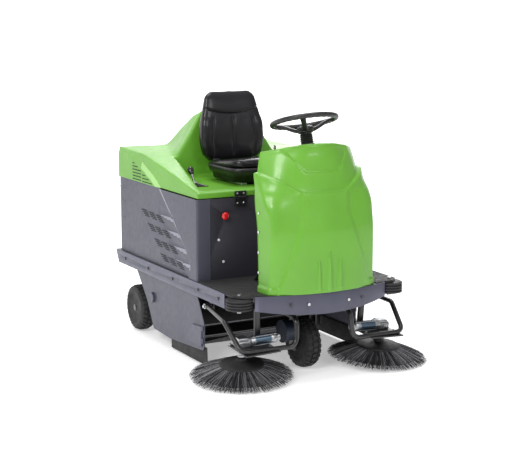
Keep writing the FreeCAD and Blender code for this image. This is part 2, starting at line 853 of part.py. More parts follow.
def side_door(side):
    label = side_name("side_door", side)
    outline = [(590, 365), (444, 211), (360, 67), (144, 57), (-262, 85), (-279, 108),
               (-281, 220), (-198, 362)]
    plane_x, sheet = size("door_plane"), size("sheet")
    low_x = span_x(side, plane_x - sheet, plane_x)[0]
    body = plate_x(label, lines(outline), low_x, "sizes.sheet")
    bulge = lines([(-60, 104), (-150, 206), (-262, 214), (-262, 104)])
    raised = pad(body, sketch(body, "YZ_Plane", bulge, side * plane_x), 10, reverse=side < 0)
    raised.TaperAngle = -20.0
    pad(body, sketch(body, "YZ_Plane", ring(365, 241, 28), side * plane_x), 12, reverse=side < 0)
    for low in (124, 190):
        knuckle = ring(side * 462, DOOR_HINGE_Y, 6.5)
        pad(body, sketch(body, "XY_Plane", knuckle, low), 26)
    return body


# ---------------------------------------------------------------- hopper and machinery

def hopper():
    outer = box((-322, 430, 96), (322, 808, 378))
    inner = box((-318, 420, 100), (318, 804, 374))
    shell = cut("hopper_shell", outer, inner)
    grip = [rod((x, 806, 300), (0, 1, 0), 7, 32) for x in (-90, 90)]
    bar = rod((-97, 838.5, 300), (1, 0, 0), 7.5, 194)
    return fuse("hopper", [shell, bar] + grip)


def battery_pack():
    items = []
    for column in range(4):
        low = -336 + 170 * column
        items.append(box((low, -205, 440.5), (low + 162, 60, 690)))
    return group("battery_pack", items)


def filter_housing():
    outer = box((-330, 110, 440.5), (330, 560, 740))
    inner = box((-326, 114, 430), (326, 556, 736))
    shell = cut("filter_box", outer, inner)
    fan = rod((0, 335, 739), (0, 0, 1), 95, 70)
    return fuse("filter_housing", [shell, fan])


# ---------------------------------------------------------------- hood and seat

def hood_profile(inset):
    front, rear = size("body_front") + inset, size("body_rear") - inset
    low = size("seam") + 0.5
    points = [(front, low), (front, 896 - inset), (front + 46, 906 - inset), (56, 955 - inset),
              (250, 992 - inset), (480, 1029 - inset), (rear, 1036 - inset), (rear, low)]
    return points


def hood_prism(inset, low):
    points = hood_profile(inset)
    points[0] = (points[0][0], low)
    points[-1] = (points[-1][0], low)
    half = size("body_half") + 2 - inset
    wire = Part.makePolygon([Vector(-half, y, z) for y, z in points + points[:1]])
    return Part.Face(wire).extrude(Vector(2 * half, 0, 0))


# plan position, foot half width, waist half width, waist height, top half width, top height
SHROUD = [
    (372, 300, 228, 1130, 150, 1262),
    (470, 280, 218, 1110, 154, 1232),
    (620, 226, 194, 1074, 162, 1148),
    (790, 176, 172, 1037, 168, 1040),
]


def shroud(inset, low):
    wires = []
    for y, foot, waist, waist_z, top, top_z in SHROUD:
        half = [(foot - inset, low), (foot - inset, 1022 - inset), (waist - inset, waist_z - inset),
                (top - inset, top_z - inset)]
        points = half + [(-x, z) for x, z in reversed(half)]
        shift = inset if y < 400 else -inset
        wires.append(Part.makePolygon([Vector(x, y + shift, z) for x, z in points + points[:1]]))
    return Part.makeLoft(wires, True, True)


def bay_block(grow, low):
    """Room for the seat: wide at the front, narrower against the shroud."""
    front, rear = size("body_front") + 42 - grow, 371 + grow
    plan = [(-430 - grow, front), (430 + grow, front), (312 + grow, rear), (-312 - grow, rear)]
    wire = Part.makePolygon([Vector(x, y, low) for x, y in plan + plan[:1]])
    return Part.Face(wire).extrude(Vector(0, 0, 1300 - low))


def hood_cover():
    sheet, floor = size("sheet"), size("bay_floor")
    outer = hood_prism(0, size("seam") + 0.5).fuse(shroud(0, 1000))
    cavity = hood_prism(sheet, size("seam") - 10).fuse(shroud(sheet, 990))
    cavity = cavity.cut(bay_block(sheet, floor - sheet))
    whole = outer.cut(bay_block(0, floor)).cut(cavity)
    return shaped("hood_cover", whole)


def hinge_knuckles(offsets, way):
    y, z = size("hinge_y"), size("seam")
    items = []
    for middle in (-226, 226):
        for offset, length in offsets:
            items.append(rod((middle + offset, y, z), (1, 0, 0), 5, length))
        low, high = (z - 50, z - 6) if way < 0 else (z + 6, z + 32)
        items.append(box((middle - 33, y - 1, low), (middle + 33, y + 3, high)))
        for offset, length in offsets:
            near, far = (z - 8, z) if way < 0 else (z, z + 8)
            items.append(box((middle + offset, y - 1, near), (middle + offset + length, y + 3, far)))
        if way < 0:
            items.append(box((middle - 33, y + 2, z - 50), (middle + 33, y + 11.4, z - 12)))
        else:
            items.append(box((middle - 33, y + 2, z + 10), (middle + 33, y + 6.9, z + 28)))
    return items


def hood_hinge_fixed():
    items = hinge_knuckles(((-33, 20.0), (13, 20.0)), -1)
    return fuse("hood_hinge_fixed", items)


def hood_hinge_moving():
    items = hinge_knuckles(((-12.5, 25.0),), 1)
    return fuse("hood_hinge_moving", items)


def seat_base():
    floor = size("bay_floor")
    items = [box((-150, -70, floor + 0.3), (150, 230, floor + 12)),
             box((-175, -90, floor + 12), (175, 236, 948)),
             box((-190, -100, 946), (190, 244, 973))]
    for side in (-1, 1):
        low, high = span_x(side, 60, 110)
        items.append(box((low, 200, 962), (high, 256, 973)))
        items.append(box((low, 247, 962), (high, 256.6, 1030)))
    return fuse("seat_base", items)


def seat_cushion():
    outline = [(-122, 990), (-136, 1014), (-128, 1040), (-96, 1046), (100, 1024), (238, 1004),
               (246, 976)]
    return plate_x("seat_cushion", lines(outline), -208, 416)


def seat_backrest():
    """Common of the side profile and the rounded front outline."""
    profile = [(270, 985), (260, 1020), (257, 1080), (262, 1180), (288, 1300), (304, 1358),
               (330, 1373), (350, 1362), (358, 1300), (352, 1180), (348, 1060), (332, 985)]
    half = [(140, 985), (182, 1020), (197, 1110), (192, 1190), (168, 1280), (154, 1340),
            (136, 1364), (110, 1374)]
    front = half + [(-x, z) for x, z in reversed(half)]
    side_body = plate_x("backrest_profile", lines(profile), -210, 420)
    front_body = plate_y("backrest_outline", lines(front), 400, 200)
    item = DOC.addObject("Part::Common", "seat_backrest")
    item.Base = side_body
    item.Tool = front_body
    return named("seat_backrest", item)


def brush_lever():
    stem = rod((-340, 70, 904), (0, 0.6, 0.8), 6, 66)
    knob = rod((-340, 70 + 0.6 * 62, 904 + 0.8 * 62), (0, 0.6, 0.8), 15, 34)
    eye = rod((-350, 70, 906), (1, 0, 0), 7.5, 20)
    return fuse("brush_lever", [stem, knob, eye])


def emergency_stop():
    face = size("body_front") + 4.5
    return fuse("emergency_stop", [rod((-315, face - 14, 772), (0, -1, 0), 20, 16),
                                   rod((-315, face + 6, 772), (0, -1, 0), 10, 22)])


def pedal(label, x, wide):
    plate = box((-wide / 2, -6, 0), (wide / 2, 0, 96))
    eye = rod((-wide / 2, 0, 0), (1, 0, 0), 7, wide)
    item = fuse(label, [plate, eye])
    item.Placement = Placement(Vector(x, -350, 453), Rotation(Vector(1, 0, 0), 42))
    return item


# ---------------------------------------------------------------- build and write

def build():
    made = [chassis_frame(), deck_plate(), deck_mat(), front_bumper_rail(), rear_bumper_rail(),
            deck_bolts(), body_front_panel(), body_rear_panel(), panel_screws(), front_fairing(),
            dash_panel(), dash_display(), key_switch(), horn_button(), steering_column(),
            steering_wheel(), steering_shaft(), steering_link_shaft(), front_fork(), drive_motor(),
            main_brush_core(), main_brush_bristles(), brush_tunnel(), hopper(), battery_pack(),
            filter_housing(), hood_cover(), hood_hinge_fixed(), hood_hinge_moving(), seat_base(),
            seat_cushion(), seat_backrest(), brush_lever(), emergency_stop(),
            pedal("drive_pedal", -160, 90), pedal("brake_pedal", 160, 70)]
    for side in (-1, 1):
        made += [side_rail(side), body_side(side), corner_roller(side), brush_frame(side),
                 side_brush_motor(side), side_brush_disc(side), side_brush_bristles(side),
                 side_flap(side), side_door(side)]
    wheels()
    names = [item.Label for item in made]
    names += ["front_tyre", "front_rim"]
    names += [side_name(stem, side) for stem in ("rear_tyre", "rear_rim") for side in (-1, 1)]
    return names


def check_and_write(names):
    DOC.recompute()
    failed = [item.Label for item in DOC.Objects
              if "Invalid" in item.State or "Error" in item.State]
    if failed:
        raise RuntimeError("failed objects: " + ", ".join(failed))
    for name in names:
        shape = DOC.getObjectsByLabel(name)[0].Shape
        if shape.isNull() or not shape.isValid():
            raise RuntimeError("bad shape: " + name)
        if not shape.Solids:
            raise RuntimeError("no solid: " + name)
    for name in names:
        DOC.getObjectsByLabel(name)[0].Shape.exportStep("parts/" + name + ".step")


check_and_write(build())
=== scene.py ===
import json
import math
import random
from contextlib import contextmanager

import bmesh
import bpy
import numpy as np
from mathutils import Matrix, Vector

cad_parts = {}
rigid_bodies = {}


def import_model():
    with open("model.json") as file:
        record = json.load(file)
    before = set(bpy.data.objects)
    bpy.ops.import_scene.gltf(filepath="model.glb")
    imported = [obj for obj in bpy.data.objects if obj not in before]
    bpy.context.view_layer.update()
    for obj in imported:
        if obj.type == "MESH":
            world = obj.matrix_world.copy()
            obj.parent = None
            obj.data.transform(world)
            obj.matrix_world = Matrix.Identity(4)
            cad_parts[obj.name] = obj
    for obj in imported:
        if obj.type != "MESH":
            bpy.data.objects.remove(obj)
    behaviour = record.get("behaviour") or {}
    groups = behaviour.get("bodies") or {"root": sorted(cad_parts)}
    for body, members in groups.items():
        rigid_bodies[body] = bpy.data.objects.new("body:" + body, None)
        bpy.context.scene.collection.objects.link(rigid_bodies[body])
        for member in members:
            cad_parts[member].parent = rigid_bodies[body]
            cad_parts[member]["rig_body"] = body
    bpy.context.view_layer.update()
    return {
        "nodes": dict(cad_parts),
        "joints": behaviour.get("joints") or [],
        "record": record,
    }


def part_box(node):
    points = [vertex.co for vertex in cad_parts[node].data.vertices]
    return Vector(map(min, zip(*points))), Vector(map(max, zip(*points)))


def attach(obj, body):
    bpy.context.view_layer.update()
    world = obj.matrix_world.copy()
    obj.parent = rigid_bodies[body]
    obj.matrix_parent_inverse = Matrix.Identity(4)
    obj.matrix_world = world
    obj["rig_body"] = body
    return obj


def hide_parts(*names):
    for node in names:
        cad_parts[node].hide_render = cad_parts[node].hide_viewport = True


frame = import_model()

NODES = frame["nodes"]
JOINTS = {joint["name"]: joint for joint in frame["joints"]}
SCENE = bpy.context.scene
MM = 0.001
SIDES = ((-1, "right"), (1, "left"))


# ---------------------------------------------------------------- camera, light and floor

def stage():
    azimuth, height = math.radians(-28.22), math.radians(9.68)
    back = Vector((math.sin(azimuth) * math.cos(height), -math.cos(azimuth) * math.cos(height),
                   math.sin(height)))
    camera = bpy.data.objects.new("camera", bpy.data.cameras.new("camera"))
    SCENE.collection.objects.link(camera)
    camera.location = (-3.4289, -6.38588, 1.900)
    camera.rotation_mode = "QUATERNION"
    camera.rotation_quaternion = (-back).to_track_quat("-Z", "Y")
    camera.data.lens = 95.43
    camera.data.sensor_width = 36.0
    camera.data.clip_end = 60
    SCENE.camera = camera
    for name, place, aim, wide, power in (
            ("key", (-4.2, -3.0, 4.0), (0, 0, 0.6), 2.0, 180),
            ("front", (1.2, -5.6, 3.6), (0, 0, 0.5), 1.8, 60),
            ("back", (2.6, 3.6, 3.6), (0, 0, 0.7), 2.2, 90),
            ("top", (0.0, 0.2, 4.8), (0, 0, 0), 2.4, 110)):
        lamp = bpy.data.lights.new(name, "AREA")
        lamp.size = wide
        lamp.energy = power
        item = bpy.data.objects.new(name, lamp)
        SCENE.collection.objects.link(item)
        item.location = place
        item.rotation_mode = "QUATERNION"
        item.rotation_quaternion = (Vector(aim) - Vector(place)).to_track_quat("-Z", "Y")
    world = bpy.data.worlds.new("studio")
    SCENE.world = world
    world.use_nodes = True
    world.node_tree.nodes["Background"].inputs[0].default_value = (1, 1, 1, 1)
    world.node_tree.nodes["Background"].inputs[1].default_value = 0.36
    SCENE.view_settings.view_transform = "Standard"


# ---------------------------------------------------------------- materials

class Shader:
    """One node material; the inputs given by name are set on the shader itself."""

    def __init__(self, name, **inputs):
        self.material = bpy.data.materials.new(name)
        self.material.use_nodes = True
        self.tree = self.material.node_tree
        self.base = self.tree.nodes["Principled BSDF"]
        for key, value in inputs.items():
            self.base.inputs[key.replace("_", " ")].default_value = value
        self.place = self.tree.nodes.new("ShaderNodeTexCoord").outputs["Object"]

    def node(self, kind, settings=None, **inputs):
        item = self.tree.nodes.new("ShaderNode" + kind)
        for key, value in (settings or {}).items():
            setattr(item, key, value)
        for key, value in inputs.items():
            socket = item.inputs[int(key[1:])] if key[0] == "_" else item.inputs[key]
            if isinstance(value, bpy.types.NodeSocket):
                self.tree.links.new(value, socket)
            else:
                socket.default_value = value
        return item.outputs[0]

    def stretched(self, scale):
        return self.node("Mapping", Vector=self.place, Scale=scale)

    def noise(self, scale, detail=4.0, where=None):
        return self.node("TexNoise", Vector=where or self.place, Scale=scale, Detail=detail)

    def ramp(self, value, low, high, first, last):
        item = self.tree.nodes.new("ShaderNodeMapRange")
        self.tree.links.new(value, item.inputs[0])
        for index, number in zip((1, 2, 3, 4), (low, high, first, last)):
            item.inputs[index].default_value = number
        return item.outputs[0]

    def mix(self, factor, first, last):
        item = self.tree.nodes.new("ShaderNodeMix")
        item.data_type = "RGBA"
        self.tree.links.new(factor, item.inputs[0])
        for index, value in ((6, first), (7, last)):
            if isinstance(value, bpy.types.NodeSocket):
                self.tree.links.new(value, item.inputs[index])
            else:
                item.inputs[index].default_value = (*value, 1)
        return item.outputs[2]

    def colour(self, socket):
        self.tree.links.new(socket, self.base.inputs["Base Color"])

    def rough(self, socket):
        self.tree.links.new(socket, self.base.inputs["Roughness"])

    def bump(self, height, strength, distance):
        item = self.tree.nodes.new("ShaderNodeBump")
        item.inputs["Strength"].default_value = strength
        item.inputs["Distance"].default_value = distance
        self.tree.links.new(height, item.inputs["Height"])
        previous = self.base.inputs["Normal"].links
        if previous:
            self.tree.links.new(previous[0].from_socket, item.inputs["Normal"])
        self.tree.links.new(item.outputs[0], self.base.inputs["Normal"])

    def worn(self, colour, tint, amount):
        """Lightens the raised edges a little, where paint rubs."""
        geometry = self.tree.nodes.new("ShaderNodeNewGeometry")
        edge = self.ramp(geometry.outputs["Pointiness"], 0.53, 0.62, 0.0, amount)
        return self.mix(edge, colour, tint)


def shade(colour, factor):
    return tuple(min(1.0, part * factor) for part in colour)


def painted(name, colour, rough, metal=0.0, grain=900.0, bump=0.12, vary=0.10, coat=0.0, wear=0.0):
    """Paint or moulded plastic: faint mottling, uneven gloss and a fine surface grain."""
    item = Shader(name, Metallic=metal, Coat_Weight=coat, Coat_Roughness=0.08)
    cloud = item.noise(5.0)
    tone = item.mix(item.ramp(cloud, 0.3, 0.7, 0, 1), shade(colour, 1 - vary), shade(colour, 1 + vary))
    if wear:
        tone = item.worn(tone, shade(colour, 2.2), wear)
    item.colour(tone)
    item.rough(item.ramp(item.noise(38.0), 0.25, 0.75, rough * 0.85, rough * 1.2))
    item.bump(item.noise(grain, 2.0), bump, 0.0006)
    return item.material


def brushed(name, colour, rough, stretch=(6, 400, 400)):
    item = Shader(name, Metallic=1.0)
    lines = item.noise(3.0, 3.0, item.stretched(stretch))
    item.colour(item.mix(item.ramp(lines, 0.3, 0.7, 0, 1), shade(colour, 0.75), shade(colour, 1.15)))
    item.rough(item.ramp(lines, 0.3, 0.7, rough * 0.75, rough * 1.3))
    item.bump(lines, 0.25, 0.0004)
    return item.material


def rubber(name, colour, rough, scale=260.0):
    item = Shader(name)
    cloud = item.noise(9.0)
    item.colour(item.mix(item.ramp(cloud, 0.3, 0.7, 0, 1), shade(colour, 0.75), shade(colour, 1.5)))
    item.rough(item.ramp(item.noise(30.0), 0.3, 0.7, rough * 0.85, min(1, rough * 1.15)))
    item.bump(item.noise(scale), 0.35, 0.0008)
    return item.material


def leather(name, colour):
    """Black vinyl: rounded pebbles with fine creases between them."""
    item = Shader(name, Specular_IOR_Level=0.30, Coat_Weight=0.30, Coat_Roughness=0.16)
    cells = item.node("TexVoronoi", {"feature": "DISTANCE_TO_EDGE"}, Vector=item.place, Scale=420.0)
    cloud = item.noise(7.0)
    item.colour(item.mix(item.ramp(cloud, 0.3, 0.7, 0, 1), shade(colour, 0.8), shade(colour, 1.5)))
    item.rough(item.ramp(item.noise(22.0), 0.25, 0.75, 0.30, 0.46))
    item.bump(item.ramp(cells, 0.0, 0.25, 0, 1), 0.28, 0.0005)
    item.bump(item.noise(60.0), 0.10, 0.0015)
    return item.material


def tread_mat(name, colour):
    """Rubber floor mat with a raised diamond pattern."""
    item = Shader(name)
    waves = []
    for angle in (45, -45):
        turned = item.node("Mapping", Vector=item.place, Rotation=(0, 0, math.radians(angle)))
        waves.append(item.node("TexWave", {"wave_profile": "SIN"}, Vector=turned, Scale=26.0))
    both = item.node("Math", {"operation": "MULTIPLY"}, _0=waves[0], _1=waves[1])
    peak = item.ramp(both, 0.35, 0.6, 0, 1)
    item.colour(item.mix(peak, shade(colour, 0.8), shade(colour, 1.9)))
    item.rough(item.ramp(item.noise(30.0), 0.3, 0.7, 0.55, 0.8))
    item.bump(peak, 0.9, 0.002)
    item.bump(item.noise(400.0), 0.2, 0.0005)
    return item.material


def bristle(name, dark, light):
    """Plastic filaments, each with its own shade of grey."""
    item = Shader(name, Specular_IOR_Level=0.4)
    geometry = item.tree.nodes.new("ShaderNodeNewGeometry")
    pick = item.ramp(geometry.outputs["Random Per Island"], 0.62, 0.95, 0, 1)
    streak = item.noise(300.0)
    tone = item.mix(pick, dark, light)
    item.colour(item.mix(item.ramp(streak, 0.35, 0.65, 0, 0.5), tone, shade(dark, 0.6)))
    item.rough(item.ramp(item.noise(80.0), 0.3, 0.7, 0.42, 0.66))
    item.bump(streak, 0.2, 0.0004)
    return item.material


GREEN = (0.135, 0.385, 0.030)
SLATE = (0.078, 0.079, 0.108)
BLACK = (0.012, 0.012, 0.013)
MATERIALS = {
    "fairing_green": painted("fairing_green", GREEN, 0.36, coat=0.15, grain=420, bump=0.05, vary=0.05),
    "hood_green": painted("hood_green", GREEN, 0.42, coat=0.08, grain=420, bump=0.05, vary=0.06),
    "panel_grey": painted("panel_grey", SLATE, 0.42, metal=0.25, wear=0.35, vary=0.07),
    # Lighter copy of the panel grey: painted highlight on the body's crease band and scoop ledges.
    "panel_painted_highlight": painted("panel_painted_highlight", (0.30, 0.30, 0.36), 0.40, metal=0.2, vary=0.06),
    # Lighter copy of the green: painted highlight on the hood's crease band.
    "hood_painted_highlight": painted("hood_painted_highlight", (0.33, 0.62, 0.19), 0.42, grain=420, bump=0.05, vary=0.05),
    # A darker copy of the panel grey for the front panel: painted shade.
    "panel_dark": painted("panel_dark", (0.032, 0.031, 0.039), 0.45, metal=0.1, wear=0.4),
    "rail_grey": painted("rail_grey", (0.075, 0.076, 0.110), 0.40, metal=0.25, wear=0.6),
    "frame_black": painted("frame_black", (0.016, 0.016, 0.017), 0.32, coat=0.3, wear=0.8),
    "deck_steel": painted("deck_steel", (0.03, 0.03, 0.032), 0.5, metal=0.3, wear=0.6),
    "mat_rubber": tread_mat("mat_rubber", (0.018, 0.018, 0.018)),
    "bolt_zinc": brushed("bolt_zinc", (0.62, 0.62, 0.63), 0.3, (300, 300, 20)),
    "screw_white": painted("screw_white", (0.75, 0.75, 0.74), 0.35, vary=0.05),
    "dash_black": painted("dash_black", BLACK, 0.55, grain=1400, bump=0.4, vary=0.25),
    "wheel_black": painted("wheel_black", (0.014, 0.014, 0.015), 0.38, grain=1600, bump=0.3, vary=0.2),
    "shaft_steel": brushed("shaft_steel", (0.5, 0.5, 0.51), 0.28),
    "tyre_rubber": rubber("tyre_rubber", (0.016, 0.016, 0.017), 0.72),
    "rim_paint": painted("rim_paint", (0.45, 0.46, 0.48), 0.38, metal=0.3, wear=0.4),
    "roller_rubber": rubber("roller_rubber", (0.013, 0.013, 0.014), 0.55),
    "motor_aluminium": brushed("motor_aluminium", (0.55, 0.56, 0.58), 0.34, (90, 90, 90)),
    "drive_motor_paint": painted("drive_motor_paint", (0.018, 0.026, 0.045), 0.4, metal=0.4),
    "disc_black": painted("disc_black", (0.018, 0.018, 0.019), 0.6, vary=0.2, bump=0.3),
    "bristle_black": bristle("bristle_black", (0.022, 0.022, 0.025), (0.50, 0.50, 0.53)),
    "flap_rubber": rubber("flap_rubber", (0.012, 0.012, 0.012), 0.7),
    "battery_case": painted("battery_case", (0.02, 0.02, 0.022), 0.5, vary=0.2),
    "filter_case": painted("filter_case", (0.08, 0.08, 0.085), 0.5, vary=0.15),
    "seat_leather": leather("seat_leather", (0.006, 0.005, 0.007)),
    "seat_frame": painted("seat_frame", (0.010, 0.009, 0.010), 0.42, vary=0.2, bump=0.3),
    "stop_red": painted("stop_red", (0.62, 0.012, 0.012), 0.22, coat=0.5, vary=0.05),
    "key_metal": brushed("key_metal", (0.6, 0.6, 0.6), 0.25),
    "button_black": painted("button_black", (0.014, 0.014, 0.015), 0.28, coat=0.3),
    "display_black": painted("display_black", (0.010, 0.012, 0.014), 0.12, coat=0.8),
    "hinge_black": painted("hinge_black", (0.010, 0.010, 0.010), 0.36, coat=0.2, wear=0.6),
    "hopper_grey": painted("hopper_grey", (0.05, 0.05, 0.06), 0.48, metal=0.2, wear=0.5),
    "tunnel_steel": painted("tunnel_steel", (0.02, 0.02, 0.022), 0.55, metal=0.3),
    "pedal_black": rubber("pedal_black", (0.014, 0.014, 0.014), 0.6),
    "core_plastic": painted("core_plastic", (0.18, 0.18, 0.18), 0.5),
    "motor_blue": painted("motor_blue", (0.13, 0.19, 0.26), 0.3, metal=0.85, vary=0.12),
    # Near-black; in the louvre mouths it is painted shade standing in for the openings.
    "slot_dark": painted("slot_dark", (0.006, 0.006, 0.007), 0.8, vary=0.3),
    "white_line": painted("white_line", (0.72, 0.72, 0.70), 0.4, vary=0.05),
}


# ---------------------------------------------------------------- mesh helpers (millimetres in)

@contextmanager
def edited(item):
    """The object's mesh, open for editing."""
    work = bmesh.new()
    work.from_mesh(item.data)
    yield work
    work.to_mesh(item.data)
    work.free()


def add_mesh(name, points, faces, slot, smooth=True):
    data = bpy.data.meshes.new(name)
    data.from_pydata([tuple(Vector(p) * MM) for p in points], [], faces)
    data.update()
    if smooth:
        data.shade_smooth()
    data.materials.append(MATERIALS[slot])
    item = bpy.data.objects.new(name, data)
    SCENE.collection.objects.link(item)
    return item


def grid(name, rows, slot, wrap=False):
    """A sheet through rows of points; wrap joins each row's end to its start."""
    wide = len(rows[0])
    points = [p for row in rows for p in row]
    faces = []
    for r in range(len(rows) - 1):
        for c in range(wide if wrap else wide - 1):
            d = (c + 1) % wide
            faces.append((r * wide + c, r * wide + d, (r + 1) * wide + d, (r + 1) * wide + c))
    return add_mesh(name, points, faces, slot)


def outward(item):
    """Makes a closed or nearly closed mesh face outwards."""
    with edited(item) as work:
        bmesh.ops.recalc_face_normals(work, faces=work.faces)
    return item


def closed(name, rings, slot):
    """A closed solid through rings of points."""
    wide, count = len(rings[0]), len(rings)
    item = grid(name, rings, slot, True)
    with edited(item) as work:
        work.verts.ensure_lookup_table()
        for start in (0, (count - 1) * wide):
            work.faces.new([work.verts[start + k] for k in range(wide)])
        bmesh.ops.remove_doubles(work, verts=work.verts, dist=1e-6)
        bmesh.ops.recalc_face_normals(work, faces=work.faces)
    return item


def sharpen(item, angle=35):
    item.data.shade_smooth()
    item.data.set_sharp_from_angle(angle=math.radians(angle))
    return item


def frame_on(axis):
    """Two directions square to an axis."""
    axis = Vector(axis).normalized()
    first = axis.orthogonal().normalized()
    return axis, first, axis.cross(first)


def lathe(name, profile, slot, place, axis, steps=40):
    """Turns (radius, height) points about an axis through place."""
    axis, first, second = frame_on(axis)
    place = Vector(place)
    rings = []
    for radius, height in profile:
        ring = []
        for k in range(steps):
            turn = 2 * math.pi * k / steps
            out = first * math.cos(turn) + second * math.sin(turn)
            ring.append(place + axis * height + out * max(radius, 0.01))
        rings.append(ring)
    return sharpen(closed(name, rings, slot))


def rounded(points, bend, steps=7):
    """Straight runs joined by smooth bends."""
    points = [Vector(p) for p in points]
    path = [points[0]]
    for before, corner, after in zip(points, points[1:], points[2:]):
        reach = min(bend, (before - corner).length * 0.49, (after - corner).length * 0.49)
        first = corner + (before - corner).normalized() * reach
        last = corner + (after - corner).normalized() * reach
        for k in range(steps + 1):
            t = k / steps
            path.append(first * (1 - t) ** 2 + corner * 2 * t * (1 - t) + last * t * t)
    return path + [points[-1]]


def tube(name, path, radius, slot, sides=14):
    """A round bar along a path; radius may be a list with one value for each point."""
    path = [Vector(p) for p in path]
    radii = radius if isinstance(radius, list) else [radius] * len(path)
    way = (path[1] - path[0]).normalized()
    side = way.orthogonal().normalized()
    rings = []
    for k, point in enumerate(path):
        ahead = path[min(k + 1, len(path) - 1)] - path[max(k - 1, 0)]
        turn = way.rotation_difference(ahead.normalized())
        side = turn @ side
        way = ahead.normalized()
        other = way.cross(side)
        rings.append([point + (side * math.cos(a) + other * math.sin(a)) * radii[k]
                      for a in (2 * math.pi * s / sides for s in range(sides))])
    return sharpen(closed(name, rings, slot))


def block(name, low, high, slot, radius=3.0, turn=None, steps=3):
    """A box with rounded edges; turn is a matrix in millimetres that places it."""
    points = [(x, y, z) for x in (low[0], high[0]) for y in (low[1], high[1]) for z in (low[2], high[2])]
    faces = [(0, 1, 3, 2), (4, 6, 7, 5), (0, 4, 5, 1), (2, 3, 7, 6), (0, 2, 6, 4), (1, 5, 7, 3)]
    if turn:
        points = [turn @ Vector(p) for p in points]
    item = add_mesh(name, points, faces, slot)
    with edited(item) as work:
        bmesh.ops.recalc_face_normals(work, faces=work.faces)
        limit = min(h - l for l, h in zip(low, high)) * 0.45
        bmesh.ops.bevel(work, geom=list(work.edges), offset=min(radius, limit) * MM, segments=steps,
                        profile=0.5, affect="EDGES")
    return sharpen(item)


def hexagon(name, place, axis, across, tall, slot="bolt_zinc"):
    """A bolt head on a washer."""
    axis, first, second = frame_on(axis)
    place = Vector(place)
    rings = []
    for radius, height in ((across * 0.55, 0), (across * 0.577, 0.3), (across * 0.577, tall * 0.8),
                           (across * 0.5, tall)):
        rings.append([place + axis * (1.4 + height) + (first * math.cos(a) + second * math.sin(a)) * radius
                      for a in (math.pi / 3 * k for k in range(6))])
    head = sharpen(closed(name, rings, slot))
    washer = lathe(name + "_washer", [(0, 0), (across * 0.8, 0), (across * 0.8, 1.1), (across * 0.75, 1.4),
                                      (0, 1.4)], slot, place, axis, 28)
    return merge(name, [head, washer])


def merge(name, items):
    with bpy.context.temp_override(active_object=items[0], object=items[0],
                                   selected_objects=items, selected_editable_objects=items):
        bpy.ops.object.join()
    items[0].name = name
    items[0].data.name = name
    return items[0]


def applied(item):
    """Turns an object's modifiers into its mesh."""
    bpy.context.view_layer.update()
    shape = bpy.data.meshes.new_from_object(item.evaluated_get(bpy.context.evaluated_depsgraph_get()))
    item.modifiers.clear()
    item.data = shape
    return item


def thicken(item, wall):
    part = item.modifiers.new("wall", "SOLIDIFY")
    part.thickness = wall * MM
    part.offset = -1.0
    return applied(item)


def place_piece(item, body, slot, *replaced):
    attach(item, body)
    for node in replaced:
        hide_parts(node)
    return item


def refined(node, body, slot, width=2.0, material=None):
    """A CAD sub-part with its sharp edges rounded."""
    data = NODES[node].data.copy()
    data.name = node + "_edged"
    item = bpy.data.objects.new(node + "_edged", data)
    SCENE.collection.objects.link(item)
    data.materials.clear()
    data.materials.append(MATERIALS[material or slot])
    work = bmesh.new()
    work.from_mesh(data)
    bmesh.ops.remove_doubles(work, verts=work.verts, dist=2e-6)
    bmesh.ops.dissolve_limit(work, angle_limit=math.radians(0.6), verts=work.verts, edges=work.edges)
    work.to_mesh(data)
    work.free()
    edge = item.modifiers.new("edge", "BEVEL")
    edge.width = width * MM
    edge.segments = 2
    edge.limit_method = "ANGLE"
    edge.angle_limit = math.radians(38)
    edge.use_clamp_overlap = True
    applied(item)
    sharpen(item, 32)
    return place_piece(item, body, slot, node)


def squared(value, power):
    """Bends a sine or cosine so that a round outline becomes a rounded box."""
    return math.copysign(abs(value) ** power, value)


def smooth_step(value, edge, wide):
    t = min(max((value - edge) / wide + 0.5, 0.0), 1.0)
    return t * t * (3 - 2 * t)


def slopes(xs, ys):
    """Slopes of a curve that never overshoots its points."""
    step = np.diff(ys) / np.diff(xs)
    result = np.zeros(len(xs))
    for k in range(1, len(xs) - 1):
        if step[k - 1] * step[k] > 0:
            result[k] = 2 * step[k - 1] * step[k] / (step[k - 1] + step[k])
    result[0], result[-1] = step[0], step[-1]
    return result


def curve_value(xs, ys, slope, x):
    k = int(np.clip(np.searchsorted(xs, x) - 1, 0, len(xs) - 2))
    gap = xs[k + 1] - xs[k]
    t = (x - xs[k]) / gap
    return ((2 * t ** 3 - 3 * t ** 2 + 1) * ys[k] + (t ** 3 - 2 * t ** 2 + t) * gap * slope[k]
            + (3 * t ** 2 - 2 * t ** 3) * ys[k + 1] + (t ** 3 - t ** 2) * gap * slope[k + 1])


# ---------------------------------------------------------------- front fairing

# height, then plan points of one half: rear, ridge, shoulder, middle, nose
FAIRING = (
    (441, 310, -590, 303, -682, 262, -703, 150, -741, -756),
    (736, 310, -578, 293, -697, 250, -712, 145, -733, -745),
    (800, 311, -570, 292, -690, 248, -706, 140, -724, -735),
    (868, 312, -556, 304, -656, 274, -690, 135, -712, -722),
    (905, 311, -551, 307, -632, 266, -677, 130, -708, -717),
    (934, 308, -547, 305, -612, 256, -664, 126, -704, -713),
    (942, 300, -545, 297, -602, 246, -655, 120, -696, -705),
    (1023, 284, -528, 280, -546, 220, -629, 106, -685, -694),
    (1110, 264, -516, 259, -524, 200, -603, 102, -671, -686),
    (1140, 246, -512, 240, -518, 188, -593, 92, -661, -674),
    (1166, 200, -508, 195, -513, 158, -577, 76, -642, -660),
)
FAIRING_FOOT, VISOR_LEVEL = 441, 1023
ROOF_NOSE, ROOF_HIGH, ROOF_FALL, ROOF_EDGE = -656, 1166, 0.28125, 12


def fairing_plan():
    rows = np.array(FAIRING, float)
    heights = rows[:, 0]
    bends = [slopes(heights, rows[:, k]) for k in range(1, 10)]

    def values(z):
        return [curve_value(heights, rows[:, k + 1], bends[k], z) for k in range(9)]
    return values


